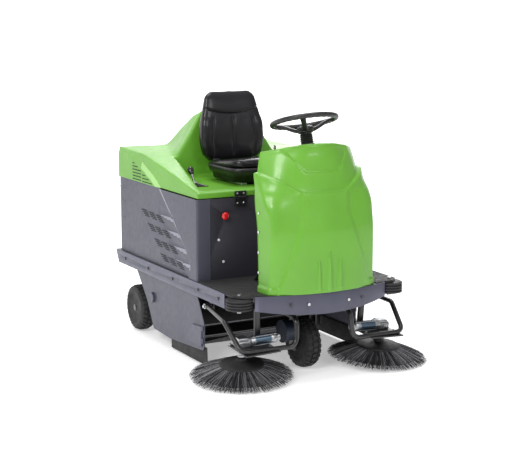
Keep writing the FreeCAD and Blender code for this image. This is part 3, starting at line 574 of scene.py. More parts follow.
def plan_points(values):
    """One half of the plan curve, from the rear edge to the nose."""
    pairs = [Vector((values[k], values[k + 1], 0)) for k in (0, 2, 4, 6)] + [Vector((0, values[8], 0))]
    reach = [0, 14, 42, 45, 50]
    runs = [10, 5, 26, 34]
    path = []
    for k in range(4):
        start, end = pairs[k], pairs[k + 1]
        way = (end - start).normalized()
        length = (end - start).length
        near = min(reach[k], length * 0.45)
        far = min(reach[k + 1], length * 0.45)
        first, last = start + way * near, end - way * far
        path += [first.lerp(last, i / runs[k]) for i in range(runs[k])]
        if k < 3:
            after = (pairs[k + 2] - end).normalized() * min(reach[k + 1], (pairs[k + 2] - end).length * 0.45)
            turn = end + after
            path += [last * (1 - t) ** 2 + end * 2 * t * (1 - t) + turn * t * t
                     for t in (i / 8 for i in range(8))]
        else:
            mirror = Vector((-last.x, last.y, 0))
            path += [last * (1 - t) ** 2 + end * 2 * t * (1 - t) + mirror * t * t
                     for t in (i / 24 for i in range(13))]
    return path


def fairing_relief(x, z):
    """Raised panel, visor recess, claw ribs and foot flange, in millimetres proud."""
    side = abs(x)
    wide = np.interp(z, (441, 476, 793, 832, 870, 936), (268, 257, 139, 126, 126, 131))
    proud = 8.5 * (1 - smooth_step(side, wide, 16)) * (1 - smooth_step(z, 932, 10))
    ledge = np.interp(side, (122, 300), (937, 1038))
    proud += (7 + 0.2 * max(0, z - 940)) * smooth_step(z, 938, 8) * (1 - smooth_step(z, ledge, 7))
    visor = np.interp(side, (98, 190), (1028, 1146))
    proud -= 7.0 * smooth_step(z, visor + 2, 7) * (1 - smooth_step(side, 186, 12))
    for middle, top in ((0, 642), (59, 609)):
        if 452 < z < top:
            half = 12.5 * math.sqrt((top - z) / (top - 452))
            across = (x - middle) / half
            if abs(across) < 1:
                proud += 9.5 * (1 - across * across) ** 0.6 * min(1, (top - z) / 30 + 0.35)
    proud += 7.0 * (1 - smooth_step(z, 474, 9)) * smooth_step(side, 262, 34)
    return proud


def front_fairing():
    """Level rows up to the visor, then rows spread evenly up to the sloping roof line."""
    values = fairing_plan()
    roof = [ROOF_HIGH - max(0, p.y - ROOF_NOSE) * ROOF_FALL for p in plan_points(values(1140))]
    levels = list(np.arange(FAIRING_FOOT, 926, 5.0)) + list(np.arange(926, 950, 2.0))
    levels += list(np.arange(950, VISOR_LEVEL, 4.0))
    rows = [[Vector((p.x, p.y, z)) for p in plan_points(values(z))] for z in levels]
    for part in (k / 34 for k in range(35)):
        row = []
        for column, top in enumerate(roof):
            height = VISOR_LEVEL + part * (top - ROOF_EDGE - VISOR_LEVEL)
            point = plan_points(values(height))[column]
            row.append(Vector((point.x, point.y, height)))
        rows.append(row)
    shaped = []
    for row in rows:
        moved = []
        for k, point in enumerate(row):
            along = row[min(k + 1, len(row) - 1)] - row[max(k - 1, 0)]
            out = Vector((-along.y, along.x, 0)).normalized()
            if k == len(row) - 1:
                out = Vector((0, -1, 0))
            if out.dot(Vector((point.x * 0.4, -1, 0))) < 0:
                out = -out
            moved.append(point + out * fairing_relief(point.x, point.z))
        shaped.append(moved)
    last, before = shaped[-1], rows[-1]
    for k in range(1, 6):
        angle = math.pi / 2 * k / 5
        ring = []
        for c, point in enumerate(last):
            inner = before[min(c + 1, len(before) - 1)] - before[max(c - 1, 0)]
            inward = Vector((inner.y, -inner.x, 0)).normalized()
            if c == len(last) - 1:
                inward = Vector((0, 1, 0))
            if inward.dot(Vector((-point.x * 0.4, 1, 0))) < 0:
                inward = -inward
            ring.append(point + inward * ROOF_EDGE * (1 - math.cos(angle))
                        + Vector((0, 0, ROOF_EDGE * math.sin(angle))))
        shaped.append(ring)
    wall_rows = []
    for row in shaped:
        wall_rows.append([Vector((-p.x, p.y, p.z)) for p in row] + list(reversed(row[:-1])))
    shell = grid("fairing_wall", wall_rows, "fairing_green")
    across = 40
    top = shaped[-1]
    roof_rows = []
    for point in top:
        roof_rows.append([Vector((-point.x + 2 * point.x * k / across, point.y,
                                  point.z + 3 * (1 - (2 * k / across - 1) ** 2) * min(1, point.x / 120)))
                          for k in range(across + 1)])
    cap = grid("fairing_roof", roof_rows, "fairing_green")
    item = merge("fairing_shell", [shell, cap])
    with edited(item) as work:
        bmesh.ops.remove_doubles(work, verts=work.verts, dist=4e-4)
        bmesh.ops.recalc_face_normals(work, faces=work.faces)
        probe = max(work.faces, key=lambda f: -f.calc_center_median().y)
        if probe.normal.y > 0:
            bmesh.ops.reverse_faces(work, faces=work.faces)
    thicken(item, 3.5)
    item.data.shade_smooth()
    place_piece(item, "chassis", "fairing_green", "front_fairing")


# ---------------------------------------------------------------- hood

BODY_FRONT, BODY_REAR, SEAM = -232, 794, 864
HOOD_TOP = ((-232, 896), (-186, 906), (56, 955), (250, 992), (480, 1029), (794, 1036))
SHROUD = ((372, 300, 228, 1130, 150, 1262), (470, 280, 218, 1110, 154, 1232),
          (620, 226, 194, 1074, 162, 1148), (790, 176, 172, 1037, 168, 1040))
CREASE = ((238, 864), (-96, 576), (-124, 530), (-124, 440))
HOOD_CREASE = ((238, 864), (330, 912), (470, 966), (640, 1012), (794, 1034))
VOXEL = 5.5


def solid(name, low_ring, high_ring):
    """A plain closed solid used only to build others from."""
    count = len(low_ring)
    faces = [tuple(range(count))[::-1], tuple(range(count, 2 * count))]
    faces += [(k, (k + 1) % count, (k + 1) % count + count, k + count) for k in range(count)]
    return outward(add_mesh(name, list(low_ring) + list(high_ring), faces, "hood_green"))


def combine(item, other, how):
    part = item.modifiers.new("cut", "BOOLEAN")
    part.operation = how
    part.solver = "EXACT"
    part.object = other
    applied(item)
    bpy.data.objects.remove(other)
    return item


def crease_side(y, z, line):
    """How far a point lies behind a falling line, in millimetres (negative is in front of it)."""
    best, sign = 1e9, 1
    for (y0, z0), (y1, z1) in zip(line, line[1:]):
        run = Vector((y1 - y0, z1 - z0))
        t = min(1, max(0, ((y - y0) * run.x + (z - z0) * run.y) / run.length_squared))
        gap = Vector((y - y0 - run.x * t, z - z0 - run.y * t))
        if gap.length < best:
            best = gap.length
            sign = 1 if run.x * gap.y - run.y * gap.x < 0 else -1
    return best * sign


def hood_cover():
    half = 468
    profile = [(BODY_FRONT, SEAM + 1)] + list(HOOD_TOP) + [(BODY_REAR, SEAM + 1)]
    body = solid("hood_block", [(-half, y, z) for y, z in profile], [(half, y, z) for y, z in profile])
    rings = []
    for y, foot, waist, waist_z, top, top_z in SHROUD:
        right = [(foot, 960), (foot, 1022), (waist, waist_z), (top, top_z)]
        rings.append([(x, y, z) for x, z in right] + [(-x, y, z) for x, z in reversed(right)])
    hump = closed("shroud_block", rings, "hood_green")
    combine(body, hump, "UNION")
    plan = [(-430, -190), (430, -190), (312, 371), (-312, 371)]
    bay = solid("bay_block", [(x, y, 898) for x, y in plan], [(x, y, 1300) for x, y in plan])
    combine(body, bay, "DIFFERENCE")
    net = body.modifiers.new("net", "REMESH")
    net.mode = "VOXEL"
    net.voxel_size = VOXEL * MM
    applied(body)
    with edited(body) as work:
        low = (SEAM + 1.0 + VOXEL * 0.8) * MM
        for times, test in ((5, lambda c: True),
                            (26, lambda c: abs(c.x) < 0.33 and c.z > 1.0 and c.y > 0.385),
                            (14, lambda c: abs(c.x) < 0.36 and c.z > 0.95 and c.y > 0.34)):
            chosen = [v for v in work.verts if test(v.co) and v.co.z > low]
            for _ in range(times):
                bmesh.ops.smooth_vert(work, verts=chosen, factor=0.5, use_axis_x=True, use_axis_y=True,
                                      use_axis_z=True)
        under = [f for f in work.faces if f.normal.z < -0.6 and f.calc_center_median().z < low]
        bmesh.ops.delete(work, geom=under, context="FACES")
        for vert in work.verts:
            x, y, z = (part / MM for part in vert.co)
            if abs(x) > half - 4:
                behind = crease_side(y, z, HOOD_CREASE)
                push = 6.0 * min(1.0, max(0.0, behind / 30 + 0.5)) * (1 - smooth_step(z, 1012, 30))
                vert.co.x += math.copysign(push * MM, x)
            vert.co.z = max(vert.co.z, (SEAM + 1.0) * MM)
    body.name = "hood_shell"
    thicken(body, 3.2)
    body.data.shade_smooth()
    body.data.materials.clear()
    body.data.materials.append(MATERIALS["hood_green"])
    # Faces on the hood's crease band get the lighter green: a painted highlight.
    paint_highlight_faces(body, "hood_painted_highlight", lambda c, n: abs(c.x) > half - 3 and c.y < 470
                  and abs(crease_side(c.y, c.z, HOOD_CREASE)) < 17)
    place_piece(body, "hood", "hood_green", "hood_cover")


def paint_highlight_faces(item, slot, chosen):
    """Gives the faces that a test picks, by their middle in millimetres and normal, a lighter material as a
    painted highlight.
    """
    item.data.materials.append(MATERIALS[slot])
    index = len(item.data.materials) - 1
    for face in item.data.polygons:
        if chosen(face.center / MM, face.normal):
            face.material_index = index


def louvre(points, faces, start, along, out, long, tall, lip):
    """One pressed louvre: a dark mouth under a rounded lip, whose rings are added to the lists of points and
    faces.
    """
    # The mouth is a flat near-black sheet just proud of the surface: painted shade in place of an opening.
    start, along, out = Vector(start), Vector(along).normalized(), Vector(out)
    down = Vector((0, 0, -1))
    mouth = []
    for t, v in ((0, 0), (long, 0), (long, tall), (0, tall)):
        mouth.append(start + along * t + down * v + out * 0.5)
    lips = []
    for k in range(5):
        angle = math.pi * k / 4
        row = []
        for t in (0, 2.0, long - 2.0, long):
            rise = lip * (0.25 if t in (0, long) else 1.0)
            row.append(start + along * t + down * (tall * 0.42 * (k / 4) - 0.8)
                       + out * (0.2 + rise * math.sin(angle)))
        lips.append(row)
    base = len(points[0])
    points[0] += mouth
    faces[0].append((base, base + 1, base + 2, base + 3))
    base = len(points[1])
    points[1] += [p for row in lips for p in row]
    for r in range(4):
        for c in range(3):
            faces[1].append((base + r * 4 + c, base + r * 4 + c + 1, base + (r + 1) * 4 + c + 1,
                             base + (r + 1) * 4 + c))


def louvre_set(name, slots, side, surface, long_tall, body, slot):
    points, faces = [[], []], [[], []]
    for y, z, long in slots:
        start = (side * surface(y, z), y, z)
        louvre(points, faces, start, (0, -1, 0), (side, 0, 0), long, long_tall, 2.4)
    mouths = add_mesh(name + "_mouths", points[0], faces[0], "slot_dark", smooth=False)
    lips = add_mesh(name + "_lips", points[1], faces[1], slot)
    for item in (outward(mouths), outward(lips)):
        place_piece(item, body, slot)


def hood_louvres():
    for side, word in SIDES:
        slots = []
        for row in range(6):
            z = 972 - row * 17.5
            reach = 30 + row * 44
            y = 588
            first = min(reach, 118)
            slots.append((y, z, first))
            if reach > 140:
                slots.append((y - 132, z - 2, reach - 140 + 24))
        louvre_set("hood_louvres_" + word, slots, side, lambda y, z: 474.2, 7.5, "hood", "hood_green")


# ---------------------------------------------------------------- body panels

def scoop(y, z):
    """Depth of the four pressed scoops, whose lower ledges deepen towards the front."""
    depth = 0.0
    for group in range(4):
        end_y, end_z = 66 - 68 * group, 692 - 71 * group
        start_y, start_z = end_y + 205, end_z + 26
        t = (start_y - y) / (start_y - end_y)
        if -0.1 < t < 1.15:
            deep = 15.0 * max(0.0, min(1.0, t)) ** 0.8
            ledge = start_z + (end_z - start_z) * t
            over = z - ledge
            lift = smooth_step(over, deep * 0.9, max(4.0, deep * 1.8)) * (1 - smooth_step(over, 40, 46))
            depth = max(depth, deep * lift * (1 - smooth_step(t, 1.03, 0.07)))
    return depth


def side_out(y, z):
    """How far a body side stands out from the middle plane."""
    wide = np.interp(z, (440, 864), (12, 30))
    t = min(1.0, max(0.0, crease_side(y, z, CREASE) / wide + 0.5))
    return 462.5 + 11.5 * t - scoop(y, z)


def body_side(side, word):
    levels = np.arange(440.8, 864.1, 4.5)
    rows = []
    for z in levels:
        row = [Vector((side * side_out(y, z), y, z)) for y in np.arange(792, -220, -5.5)]
        edge = side_out(-222, z)
        for k in range(7):
            angle = math.pi / 2 * k / 6
            row.append(Vector((side * (edge - 9 * (1 - math.cos(angle))), -222 - 9 * math.sin(angle), z)))
        row += [Vector((side * x, -231.3, z)) for x in np.linspace(edge - 12, 397, 8)]
        rows.append(row)
    item = grid("body_panel_" + word, rows, "panel_grey")
    with edited(item) as work:
        bmesh.ops.recalc_face_normals(work, faces=work.faces)
        probe = max(work.faces, key=lambda f: side * f.calc_center_median().x)
        if probe.normal.x * side < 0:
            bmesh.ops.reverse_faces(work, faces=work.faces)
    thicken(item, 2.0)
    sharpen(item, 50)

    # Faces on the crease band and on the scoops' upward-facing ledges get the lighter grey: a painted
    # highlight.
    def lit(c, n):
        wide = np.interp(c.z, (440, 864), (12, 30))
        band = abs(crease_side(c.y, c.z, CREASE)) < wide * 0.5 and c.z > 500
        return c.x * side > 440 and (band or (n.z > 0.30 and scoop(c.y, c.z) > 2.0))
    paint_highlight_faces(item, "panel_painted_highlight", lit)
    place_piece(item, "chassis", "panel_grey", "body_side_" + word)
    slots = [(498 - 84 * g - 96 * b - 17 * s, 722 - 70.5 * g - 3 * b - 9.5 * s, 74 - 4 * s)
             for g in range(4) for b in range(3) for s in range(4)]
    louvre_set("body_louvres_" + word, slots, side, side_out, 7.0, "chassis", "panel_grey")
    grooves = []
    for z in (812, 725, 636):
        path = [(side * 474.0, 776, z + 3), (side * 474.0, 742, z + 6), (side * 474.0, 712, z + 1)]
        grooves.append(tube("groove", rounded(path, 12), [1.0] + [2.2] * 8 + [0.8], "panel_grey", 8))
    place_piece(merge("side_grooves_" + word, grooves), "chassis", "panel_grey")
    latch = [block("latch", (side * 463 - 1.6, -197, 634), (side * 463 + 1.6, -185, 650), "slot_dark", 1.5),
             tube("latch_ring", rounded([(side * 465, -186, 634), (side * 465, -182, 618),
                                         (side * 465, -192, 612), (side * 465, -196, 622)], 6), 1.6,
                  "shaft_steel", 8)]
    place_piece(merge("side_latch_" + word, latch), "chassis", "panel_grey")


def hinge_details():
    for middle in (-226, 226):
        word = "right" if middle < 0 else "left"
        for node, low, high, body in (("hood_hinge_fixed", 812, 856, "chassis"),
                                      ("hood_hinge_moving", 874, 894, "hood")):
            screws = []
            for x in (middle - 18, middle + 18):
                screws.append(lathe("screw", [(0, 0), (5.2, 0), (5.2, 1.6), (3.6, 3.0), (1.6, 3.0),
                                              (1.4, 1.6), (0, 1.6)], "bolt_zinc",
                                    (x, -240.2, (low + high) / 2), (0, -1, 0), 20))
            item = merge(f"{node}_screws_{word}", screws)
            place_piece(item, body, "bolt_zinc")
    for node in ("hood_hinge_fixed", "hood_hinge_moving"):
        refined(node, "hood" if "moving" in node else "chassis", "hinge_black", 1.0)


def stop_button():
    centre = (-315, -227.5, 772)
    shapes = [lathe("stop_collar", [(0, -1.0), (17, -1.0), (17, 5), (14, 7.5), (0, 7.5)], "button_black",
                    centre, (0, -1, 0), 36),
              lathe("stop_head", [(0, 7), (9, 7), (9, 11), (18.5, 12), (20, 14.5), (19.2, 18), (15, 21.8),
                                  (8, 23.6), (0, 24)], "stop_red", centre, (0, -1, 0), 44)]
    place_piece(shapes[0], "chassis", "button_black")
    place_piece(shapes[1], "stop_button", "stop_red", "emergency_stop")


# ---------------------------------------------------------------- seat

def inflate(item, cap, pinned, pressure=4.0):
    """Lets cloth fill out under pressure, with no point moving more than cap millimetres."""
    net = item.modifiers.new("net", "REMESH")
    net.mode = "VOXEL"
    net.voxel_size = 0.006
    applied(item)
    start = np.zeros(len(item.data.vertices) * 3)
    item.data.vertices.foreach_get("co", start)
    start = start.reshape(-1, 3)
    held = item.vertex_groups.new(name="held")
    for index, point in enumerate(start):
        weight = pinned(point / MM)
        if weight > 0:
            held.add([index], weight, "REPLACE")
    cloth = item.modifiers.new("Cloth", "CLOTH")
    cloth.settings.quality = 4
    cloth.settings.mass = 0.3
    cloth.settings.use_pressure = True
    cloth.settings.uniform_pressure_force = pressure
    cloth.settings.effector_weights.gravity = 0.0
    cloth.settings.vertex_group_mass = "held"
    cloth.settings.tension_stiffness = 18
    cloth.settings.compression_stiffness = 18
    cloth.settings.bending_stiffness = 0.6
    cloth.collision_settings.use_collision = False
    cloth.point_cache.frame_start = 1
    cloth.point_cache.frame_end = 20
    for step in range(1, 21):
        SCENE.frame_set(step)
    bpy.context.view_layer.update()
    shape = bpy.data.meshes.new_from_object(item.evaluated_get(bpy.context.evaluated_depsgraph_get()))
    end = np.zeros(len(shape.vertices) * 3)
    shape.vertices.foreach_get("co", end)
    move = end.reshape(-1, 3) - start
    far = np.linalg.norm(move, axis=1, keepdims=True)
    move *= np.minimum(1.0, cap * MM / np.maximum(far, 1e-9))
    item.modifiers.clear()
    item.data.vertices.foreach_set("co", (start + move).ravel())
    item.data.update()
    SCENE.frame_set(1)
    return item


def soften(item, times):
    with edited(item) as work:
        for _ in range(times):
            bmesh.ops.smooth_vert(work, verts=work.verts, factor=0.5, use_axis_x=True, use_axis_y=True,
                                  use_axis_z=True)


def displaced(item, move):
    facing = [vert.normal.copy() for vert in item.data.vertices]
    for vert, normal in zip(item.data.vertices, facing):
        vert.co += move(vert.co / MM, normal) * MM
    item.data.update()


BACK_PROFILE = ((985, 268, 330), (1020, 262, 338), (1080, 258, 344), (1180, 263, 349), (1300, 288, 356),
                (1345, 302, 355), (1370, 322, 342))
BACK_HALF = ((985, 138), (1020, 176), (1060, 188), (1110, 194), (1190, 190), (1280, 166), (1340, 152),
             (1370, 118))


def seam_height(x):
    return 1250 + 27 * min(1, abs(x) / 160) ** 2


def seat_back():
    rings = []
    for z in np.linspace(987, 1368, 34):
        near = np.interp(z, [p[0] for p in BACK_PROFILE], [p[1] for p in BACK_PROFILE])
        far = np.interp(z, [p[0] for p in BACK_PROFILE], [p[2] for p in BACK_PROFILE])
        half = np.interp(z, [p[0] for p in BACK_HALF], [p[1] for p in BACK_HALF]) - 1
        end = max(0.0, (z - 1330) / 38, (1015 - z) / 28)
        pinch = 1 - 0.32 * min(1, end) ** 2
        middle, thick = (near + far) / 2, (far - near) / 2 * pinch - 4
        ring = []
        for k in range(56):
            turn = 2 * math.pi * k / 56
            c, s = math.cos(turn), math.sin(turn)
            x = half * squared(c, 0.42)
            y = middle + thick * squared(s, 0.55)
            if s < 0:
                y += 8 * (1 - (x / half) ** 2)
            ring.append((x, y, z))
        rings.append(ring)
    item = closed("seat_back_cushion", rings, "seat_leather")

    def pinned(point):
        x, y, z = point
        if y > np.interp(z, (985, 1370), (305, 325)):
            return 1.0
        seam = max(0.0, 1 - abs(z - seam_height(x)) / 9)
        groove = max(0.0, 1 - abs(x) / 8) if z < 1235 else 0.0
        edge = 0.0
        if z < 1240:
            edge = max(0.0, 1 - abs(abs(x) - np.interp(z, (985, 1110, 1240), (120, 132, 120))) / 8) * 0.8
        return max(seam, groove, edge)
    inflate(item, 14, pinned)
    soften(item, 3)
    part = item.modifiers.new("fine", "SUBSURF")
    part.levels = 1
    applied(item)

    def pressed(point, normal):
        x, _, z = point
        if normal.y > -0.15:
            return Vector((0, 0, 0))
        seam = math.exp(-((z - seam_height(x)) / 4.5) ** 2) * 7
        fade = smooth_step(1238 - z, 14, 30) * smooth_step(z, 1012, 40)
        groove = math.exp(-(x / 9) ** 2) * 6 * fade
        bolster = math.exp(-((abs(x) - np.interp(z, (985, 1110, 1240), (120, 132, 120))) / 7) ** 2) * 5 * fade
        side = smooth_step(abs(x), 150, 50) * 9 * fade
        hollow = 6 * math.exp(-((abs(x) - 62) / 36) ** 2) * fade
        return Vector((0, 1, 0)) * (seam + groove + bolster - side * 0.6 + hollow * 0.3)
    displaced(item, pressed)
    item.data.shade_smooth()
    place_piece(item, "seat", "seat_leather", "seat_backrest")
    path = []
    rows = np.array([v.co for v in item.data.vertices]) / MM
    for x in np.linspace(-150, 150, 41):
        z = seam_height(x)
        near = rows[(abs(rows[:, 0] - x) < 8) & (abs(rows[:, 2] - z) < 7)]
        path.append((x, near[:, 1].min() - 0.2, z))
    ys = [p[1] for p in path]
    path = [(p[0], (ys[max(k - 1, 0)] + p[1] + ys[min(k + 1, 40)]) / 3 - 0.4, p[2] + 3.2)
            for k, p in enumerate(path)]
    piping = tube("seat_back_piping", path, [0.8] + [2.1] * 39 + [0.8], "seat_leather", 10)
    place_piece(piping, "seat", "seat_leather")


def seat_pan():
    """The moulded box under the cushion with its two slide rails and the backrest's brackets."""
    parts = []
    rings = []
    for z, x_half, front, rear in ((911, 160, -74, 228), (914, 170, -86, 234), (944, 178, -96, 238),
                                   (950, 192, -112, 243), (974, 200, -124, 246), (984, 201, -126, 246),
                                   (990, 196, -120, 243)):
        middle, deep = (front + rear) / 2, (rear - front) / 2
        rings.append([(x_half * squared(math.cos(a), 0.34),
                       middle + deep * squared(math.sin(a), 0.34), z)
                      for a in (2 * math.pi * k / 80 for k in range(80))])
    parts.append(closed("pan", rings, "seat_frame"))
    for side in (-1, 1):
        x = side * 120
        parts.append(block("slide", (x - 16, -76, 898.4), (x + 16, 230, 912), "shaft_steel", 2))
        parts.append(block("bracket", (x - 20, 246, 952), (x + 20, 258, 1004), "seat_frame", 3))
    place_piece(merge("seat_pan", parts), "seat", "seat_frame", "seat_base")


def seat_cushion():
    rings = []
    for z_part in np.linspace(0, 1, 10):
        ring = []
        inset = 10 + 10 * (2 * z_part - 1) ** 4
        for k in range(72):
            turn = 2 * math.pi * k / 72
            c, s = math.cos(turn), math.sin(turn)
            x = (200 - inset) * squared(c, 0.4)
            y = 56 + (182 - inset) * squared(s, 0.45)
            top = np.interp(y, (-130, -96, 100, 238), (1034, 1042, 1020, 1000)) - 6
            bottom = np.interp(y, (-130, 240), (992, 980))
            ring.append((x, y, bottom + (top - bottom) * z_part))
        rings.append(ring)
    item = closed("seat_bottom_cushion", rings, "seat_leather")

    def pinned(point):
        x, y, z = point
        if z < np.interp(y, (-130, 240), (999, 987)):
            return 1.0
        return max(0.0, 1 - abs(abs(x) - 132) / 8) * 0.9 if y > -90 else 0.0
    inflate(item, 9, pinned)
    soften(item, 2)
    part = item.modifiers.new("fine", "SUBSURF")
    part.levels = 1
    applied(item)

    def pressed(point, normal):
        if normal.z < 0.2:
            return Vector((0, 0, 0))
        channel = math.exp(-((abs(point[0]) - 132) / 6) ** 2) * 4 * smooth_step(point[1], -96, 30)
        return Vector((0, 0, -channel))
    displaced(item, pressed)
    item.data.shade_smooth()
    place_piece(item, "seat", "seat_leather", "seat_cushion")


# ---------------------------------------------------------------- steering and dash

STEER_UP = Vector(JOINTS["steering_turn"]["axis"]).normalized()
STEER_AT = Vector(JOINTS["steering_turn"]["pos_m"]) / MM


def steering():
    rim_line, bar_radius = 161, 13.6
    turn = Vector((0, 0, 1)).rotation_difference(STEER_UP)

    def place(point):
        return STEER_AT + turn @ Vector(point)
    rings = []
    for k in range(112):
        angle = 2 * math.pi * k / 112
        out = Vector((math.cos(angle), math.sin(angle), 0))
        ring = []
        for s in range(20):
            a = 2 * math.pi * s / 20
            dent = 1.2 if math.sin(a) < -0.25 and k % 4 < 2 else 0.0
            ring.append(place(out * (rim_line + (bar_radius - dent) * math.cos(a))
                              + Vector((0, 0, (bar_radius - dent) * math.sin(a)))))
        rings.append(ring)
    rim = grid("wheel_rim", rings + [rings[0]], "wheel_black", True)
    with edited(rim) as work:
        bmesh.ops.remove_doubles(work, verts=work.verts, dist=1e-5)
        bmesh.ops.recalc_face_normals(work, faces=work.faces)
    parts = [rim]
    for angle in (-2, 118, 238):
        a = math.radians(angle)
        out, across = Vector((math.cos(a), math.sin(a), 0)), Vector((-math.sin(a), math.cos(a), 0))
        rings = []
        for k in range(15):
            t = k / 14
            distance = 20 + (rim_line - 22) * t
            height = -46 + 44 * smooth_step(t, 0.52, 0.9)
            wide, thick = 18 - 5 * math.sin(math.pi * t), 10.5
            rings.append([place(out * distance + across * wide * squared(math.cos(q), 0.6)
                                + Vector((0, 0, height + thick * squared(math.sin(q), 0.6))))
                          for q in (2 * math.pi * s / 16 for s in range(16))])
        parts.append(closed("spoke", rings, "wheel_black"))
    parts.append(lathe("hub", [(0, -62), (34, -62), (38, -59), (38, -50), (42, -47), (42, -34), (37, -30),
                               (28, -27), (14, -24), (0, -23.5)], "wheel_black", STEER_AT, STEER_UP, 48))
    wheel = sharpen(merge("steering_wheel_moulding", parts), 40)
    place_piece(wheel, "steering", "wheel_black", "steering_wheel")
    boot = [(12.6, -200), (28, -200), (28, -134), (40, -133), (43, -129), (43, -122), (39, -119)]
    for k in range(6):
        low = -121 + 9 * k
        boot += [(29, low), (34, low + 4.5)]
    boot += [(30, -68), (27, -66), (12.6, -66)]
    column = lathe("steering_boot", [(12.6, -200)] + boot[1:], "dash_black", STEER_AT, STEER_UP, 44)
    place_piece(column, "chassis", "dash_black", "steering_column")


def dash():
    refined("dash_panel", "chassis", "dash_black", 1.5)
    refined("dash_display", "chassis", "display_black", 2.0)
    low, high = (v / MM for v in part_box("dash_display"))
    middle_z = (low.z + high.z) / 2
    marks = []
    for k in range(6):
        x = -66 + 11 * k
        marks.append(block("bar", (x, high.y - 0.6, middle_z - 16),
                           (x + 7, high.y + 0.6, middle_z - 16 + 5 + 4.5 * k),
                           "white_line", 0.4))
    for k in range(3):
        marks.append(lathe("knob", [(0, 0), (9, 0), (8.5, 5), (6.5, 7), (0, 7)], "button_black",
                           (24 + 26 * k, high.y, middle_z), (0, 1, 0), 28))
    place_piece(merge("dash_marks", marks), "chassis", "display_black")
    key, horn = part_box("key_switch"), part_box("horn_button")
    x, y = ((key[0] + key[1]) / 2 / MM).xy
    parts = [lathe("key_barrel", [(0, 1108), (9, 1108), (9, 1128), (12.5, 1129), (12.5, 1133), (9, 1136),
                                  (0, 1136)], "key_metal", (x, y, 0), (0, 0, 1), 32),
             block("key_bow", (x - 1.4, y - 11, 1134), (x + 1.4, y + 11, 1158), "button_black", 1.3)]
    place_piece(merge("key_and_barrel", parts), "key", "key_metal", "key_switch")
    x, y = ((horn[0] + horn[1]) / 2 / MM).xy
    parts = [lathe("horn_cap", [(0, 1108), (7, 1108), (7, 1132), (9, 1134), (9, 1138), (6.5, 1140),
                                (0, 1140)], "button_black", (x, y, 0), (0, 0, 1), 32)]
    place_piece(parts[0], "horn", "button_black", "horn_button")
    bezel = lathe("horn_bezel", [(9.6, 1126), (13, 1126), (14, 1128.5), (12.5, 1131.5), (9.6, 1131.5)],
                  "key_metal", (x, y, 0), (0, 0, 1), 32)
    place_piece(bezel, "chassis", "button_black")


def lever():
    place = Vector(JOINTS["brush_lever_pull"]["pos_m"]) / MM
    up = Vector((0, 0.6, 0.8))
    knob = lathe("lever_knob", [(0, 54), (9, 54), (12, 60), (16, 74), (17, 84), (14, 93), (7, 97), (0, 98)],
                 "button_black", place, up, 36)
    stem = lathe("lever_stem", [(0, -6), (5.5, -6), (5.5, 56), (0, 56)], "shaft_steel", place, up, 20)
    eye = lathe("lever_eye", [(0, -10), (7.5, -10), (7.5, 10), (0, 10)], "shaft_steel",
                place, (1, 0, 0), 24)
    place_piece(merge("lever_and_knob", [knob, stem, eye]), "lever", "button_black", "brush_lever")
    gate = [block("gate", (-392, -30, 898.2), (-306, 150, 901.2), "slot_dark", 1.2)]
    for x in (-384, -314):
        gate.append(block("line", (x - 1.2, -22, 901.0), (x + 1.2, 142, 901.8), "white_line", 0.3))
    for k in range(5):
        y = -14 + 36 * k
        gate.append(block("mark", (-380, y - 0.9, 901.0), (-366 + 4 * (k % 2), y + 0.9, 901.8),
                          "white_line", 0.3))
    place_piece(merge("lever_gate", gate), "hood", "button_black")


# ---------------------------------------------------------------- wheels

def tyre(name, centre, body, node, lugs, blocky):
    centre = Vector(centre)
    profile = [(82, -37), (90, -41), (104, -42.4), (114, -39), (119, -33), (121.5, -24), (122, 0)]
    profile += [(r, -h) for r, h in reversed(profile[:-1])]
    parts = [lathe(name + "_casing", [(80, -36)] + profile + [(80, 36)], "tyre_rubber", centre,
                   (1, 0, 0), 72)]
    points, faces = [], []

    def lug(angle, wide, low, high, skew, top=129.7, base=118.0):
        start = len(points)
        for radius, part in ((base, 1.0), (top, 0.84)):
            for x, turn in ((low, -1), (high, -1), (high, 1), (low, 1)):
                mid = (low + high) / 2
                x2 = mid + (x - mid) * part
                drop = 0.006 * x2 * x2 if abs(x2) > 20 else 0
                a = angle + turn * wide * part / 2 + skew * (x2 - mid)
                r = radius - drop
                points.append(centre + Vector((x2, math.cos(a) * r, math.sin(a) * r)))
        faces.extend([(start + 4, start + 5, start + 6, start + 7)]
                     + [(start + k, start + (k + 1) % 4, start + 4 + (k + 1) % 4, start + 4 + k)
                        for k in range(4)])
    for k in range(lugs):
        angle = 2 * math.pi * k / lugs
        step = 2 * math.pi / lugs
        if blocky:
            lug(angle, step * 0.62, -40, -17, 0.0012)
            lug(angle + step / 2, step * 0.66, -13, 13, 0.0)
            lug(angle, step * 0.62, 17, 40, -0.0012)
        else:
            lug(angle, step * 0.74, -39, -15, 0.0016)
            lug(angle, step * 0.74, 15, 39, -0.0016)
            lug(angle + step / 2, step * 0.9, -11, 11, 0.0)
    parts.append(outward(add_mesh(name + "_lugs", points, faces, "tyre_rubber", False)))
    item = merge(name, parts)
    place_piece(item, body, "tyre_rubber", node)


def wheel_rim(name, centre, body, node, bore, sides):
    centre = Vector(centre)
    dish = [(bore, -33), (24, -33), (26, -31), (26, -12), (44, -8), (58, -9), (66, -16), (70, -30),
            (77, -34), (80, -33), (79.5, 33), (77, 34), (70, 30), (66, 16), (58, 9), (44, 8), (26, 12),
            (26, 31), (24, 33), (bore, 33)]
    parts = [lathe(name + "_dish", dish, "rim_paint", centre, (1, 0, 0), 64)]
    for side in sides:
        for k in range(5):
            a = 2 * math.pi * (k + 0.5) / 5
            parts.append(hexagon("nut", centre + Vector((side * 8.5, 42 * math.cos(a), 42 * math.sin(a))),
                                 (side, 0, 0), 10, 7))
        parts.append(lathe("cap", [(0, 30), (19, 30), (19, 37), (16, 40), (0, 41)], "button_black", centre,
                           (side, 0, 0), 32))
    place_piece(merge(name, parts), body, "rim_paint", node)


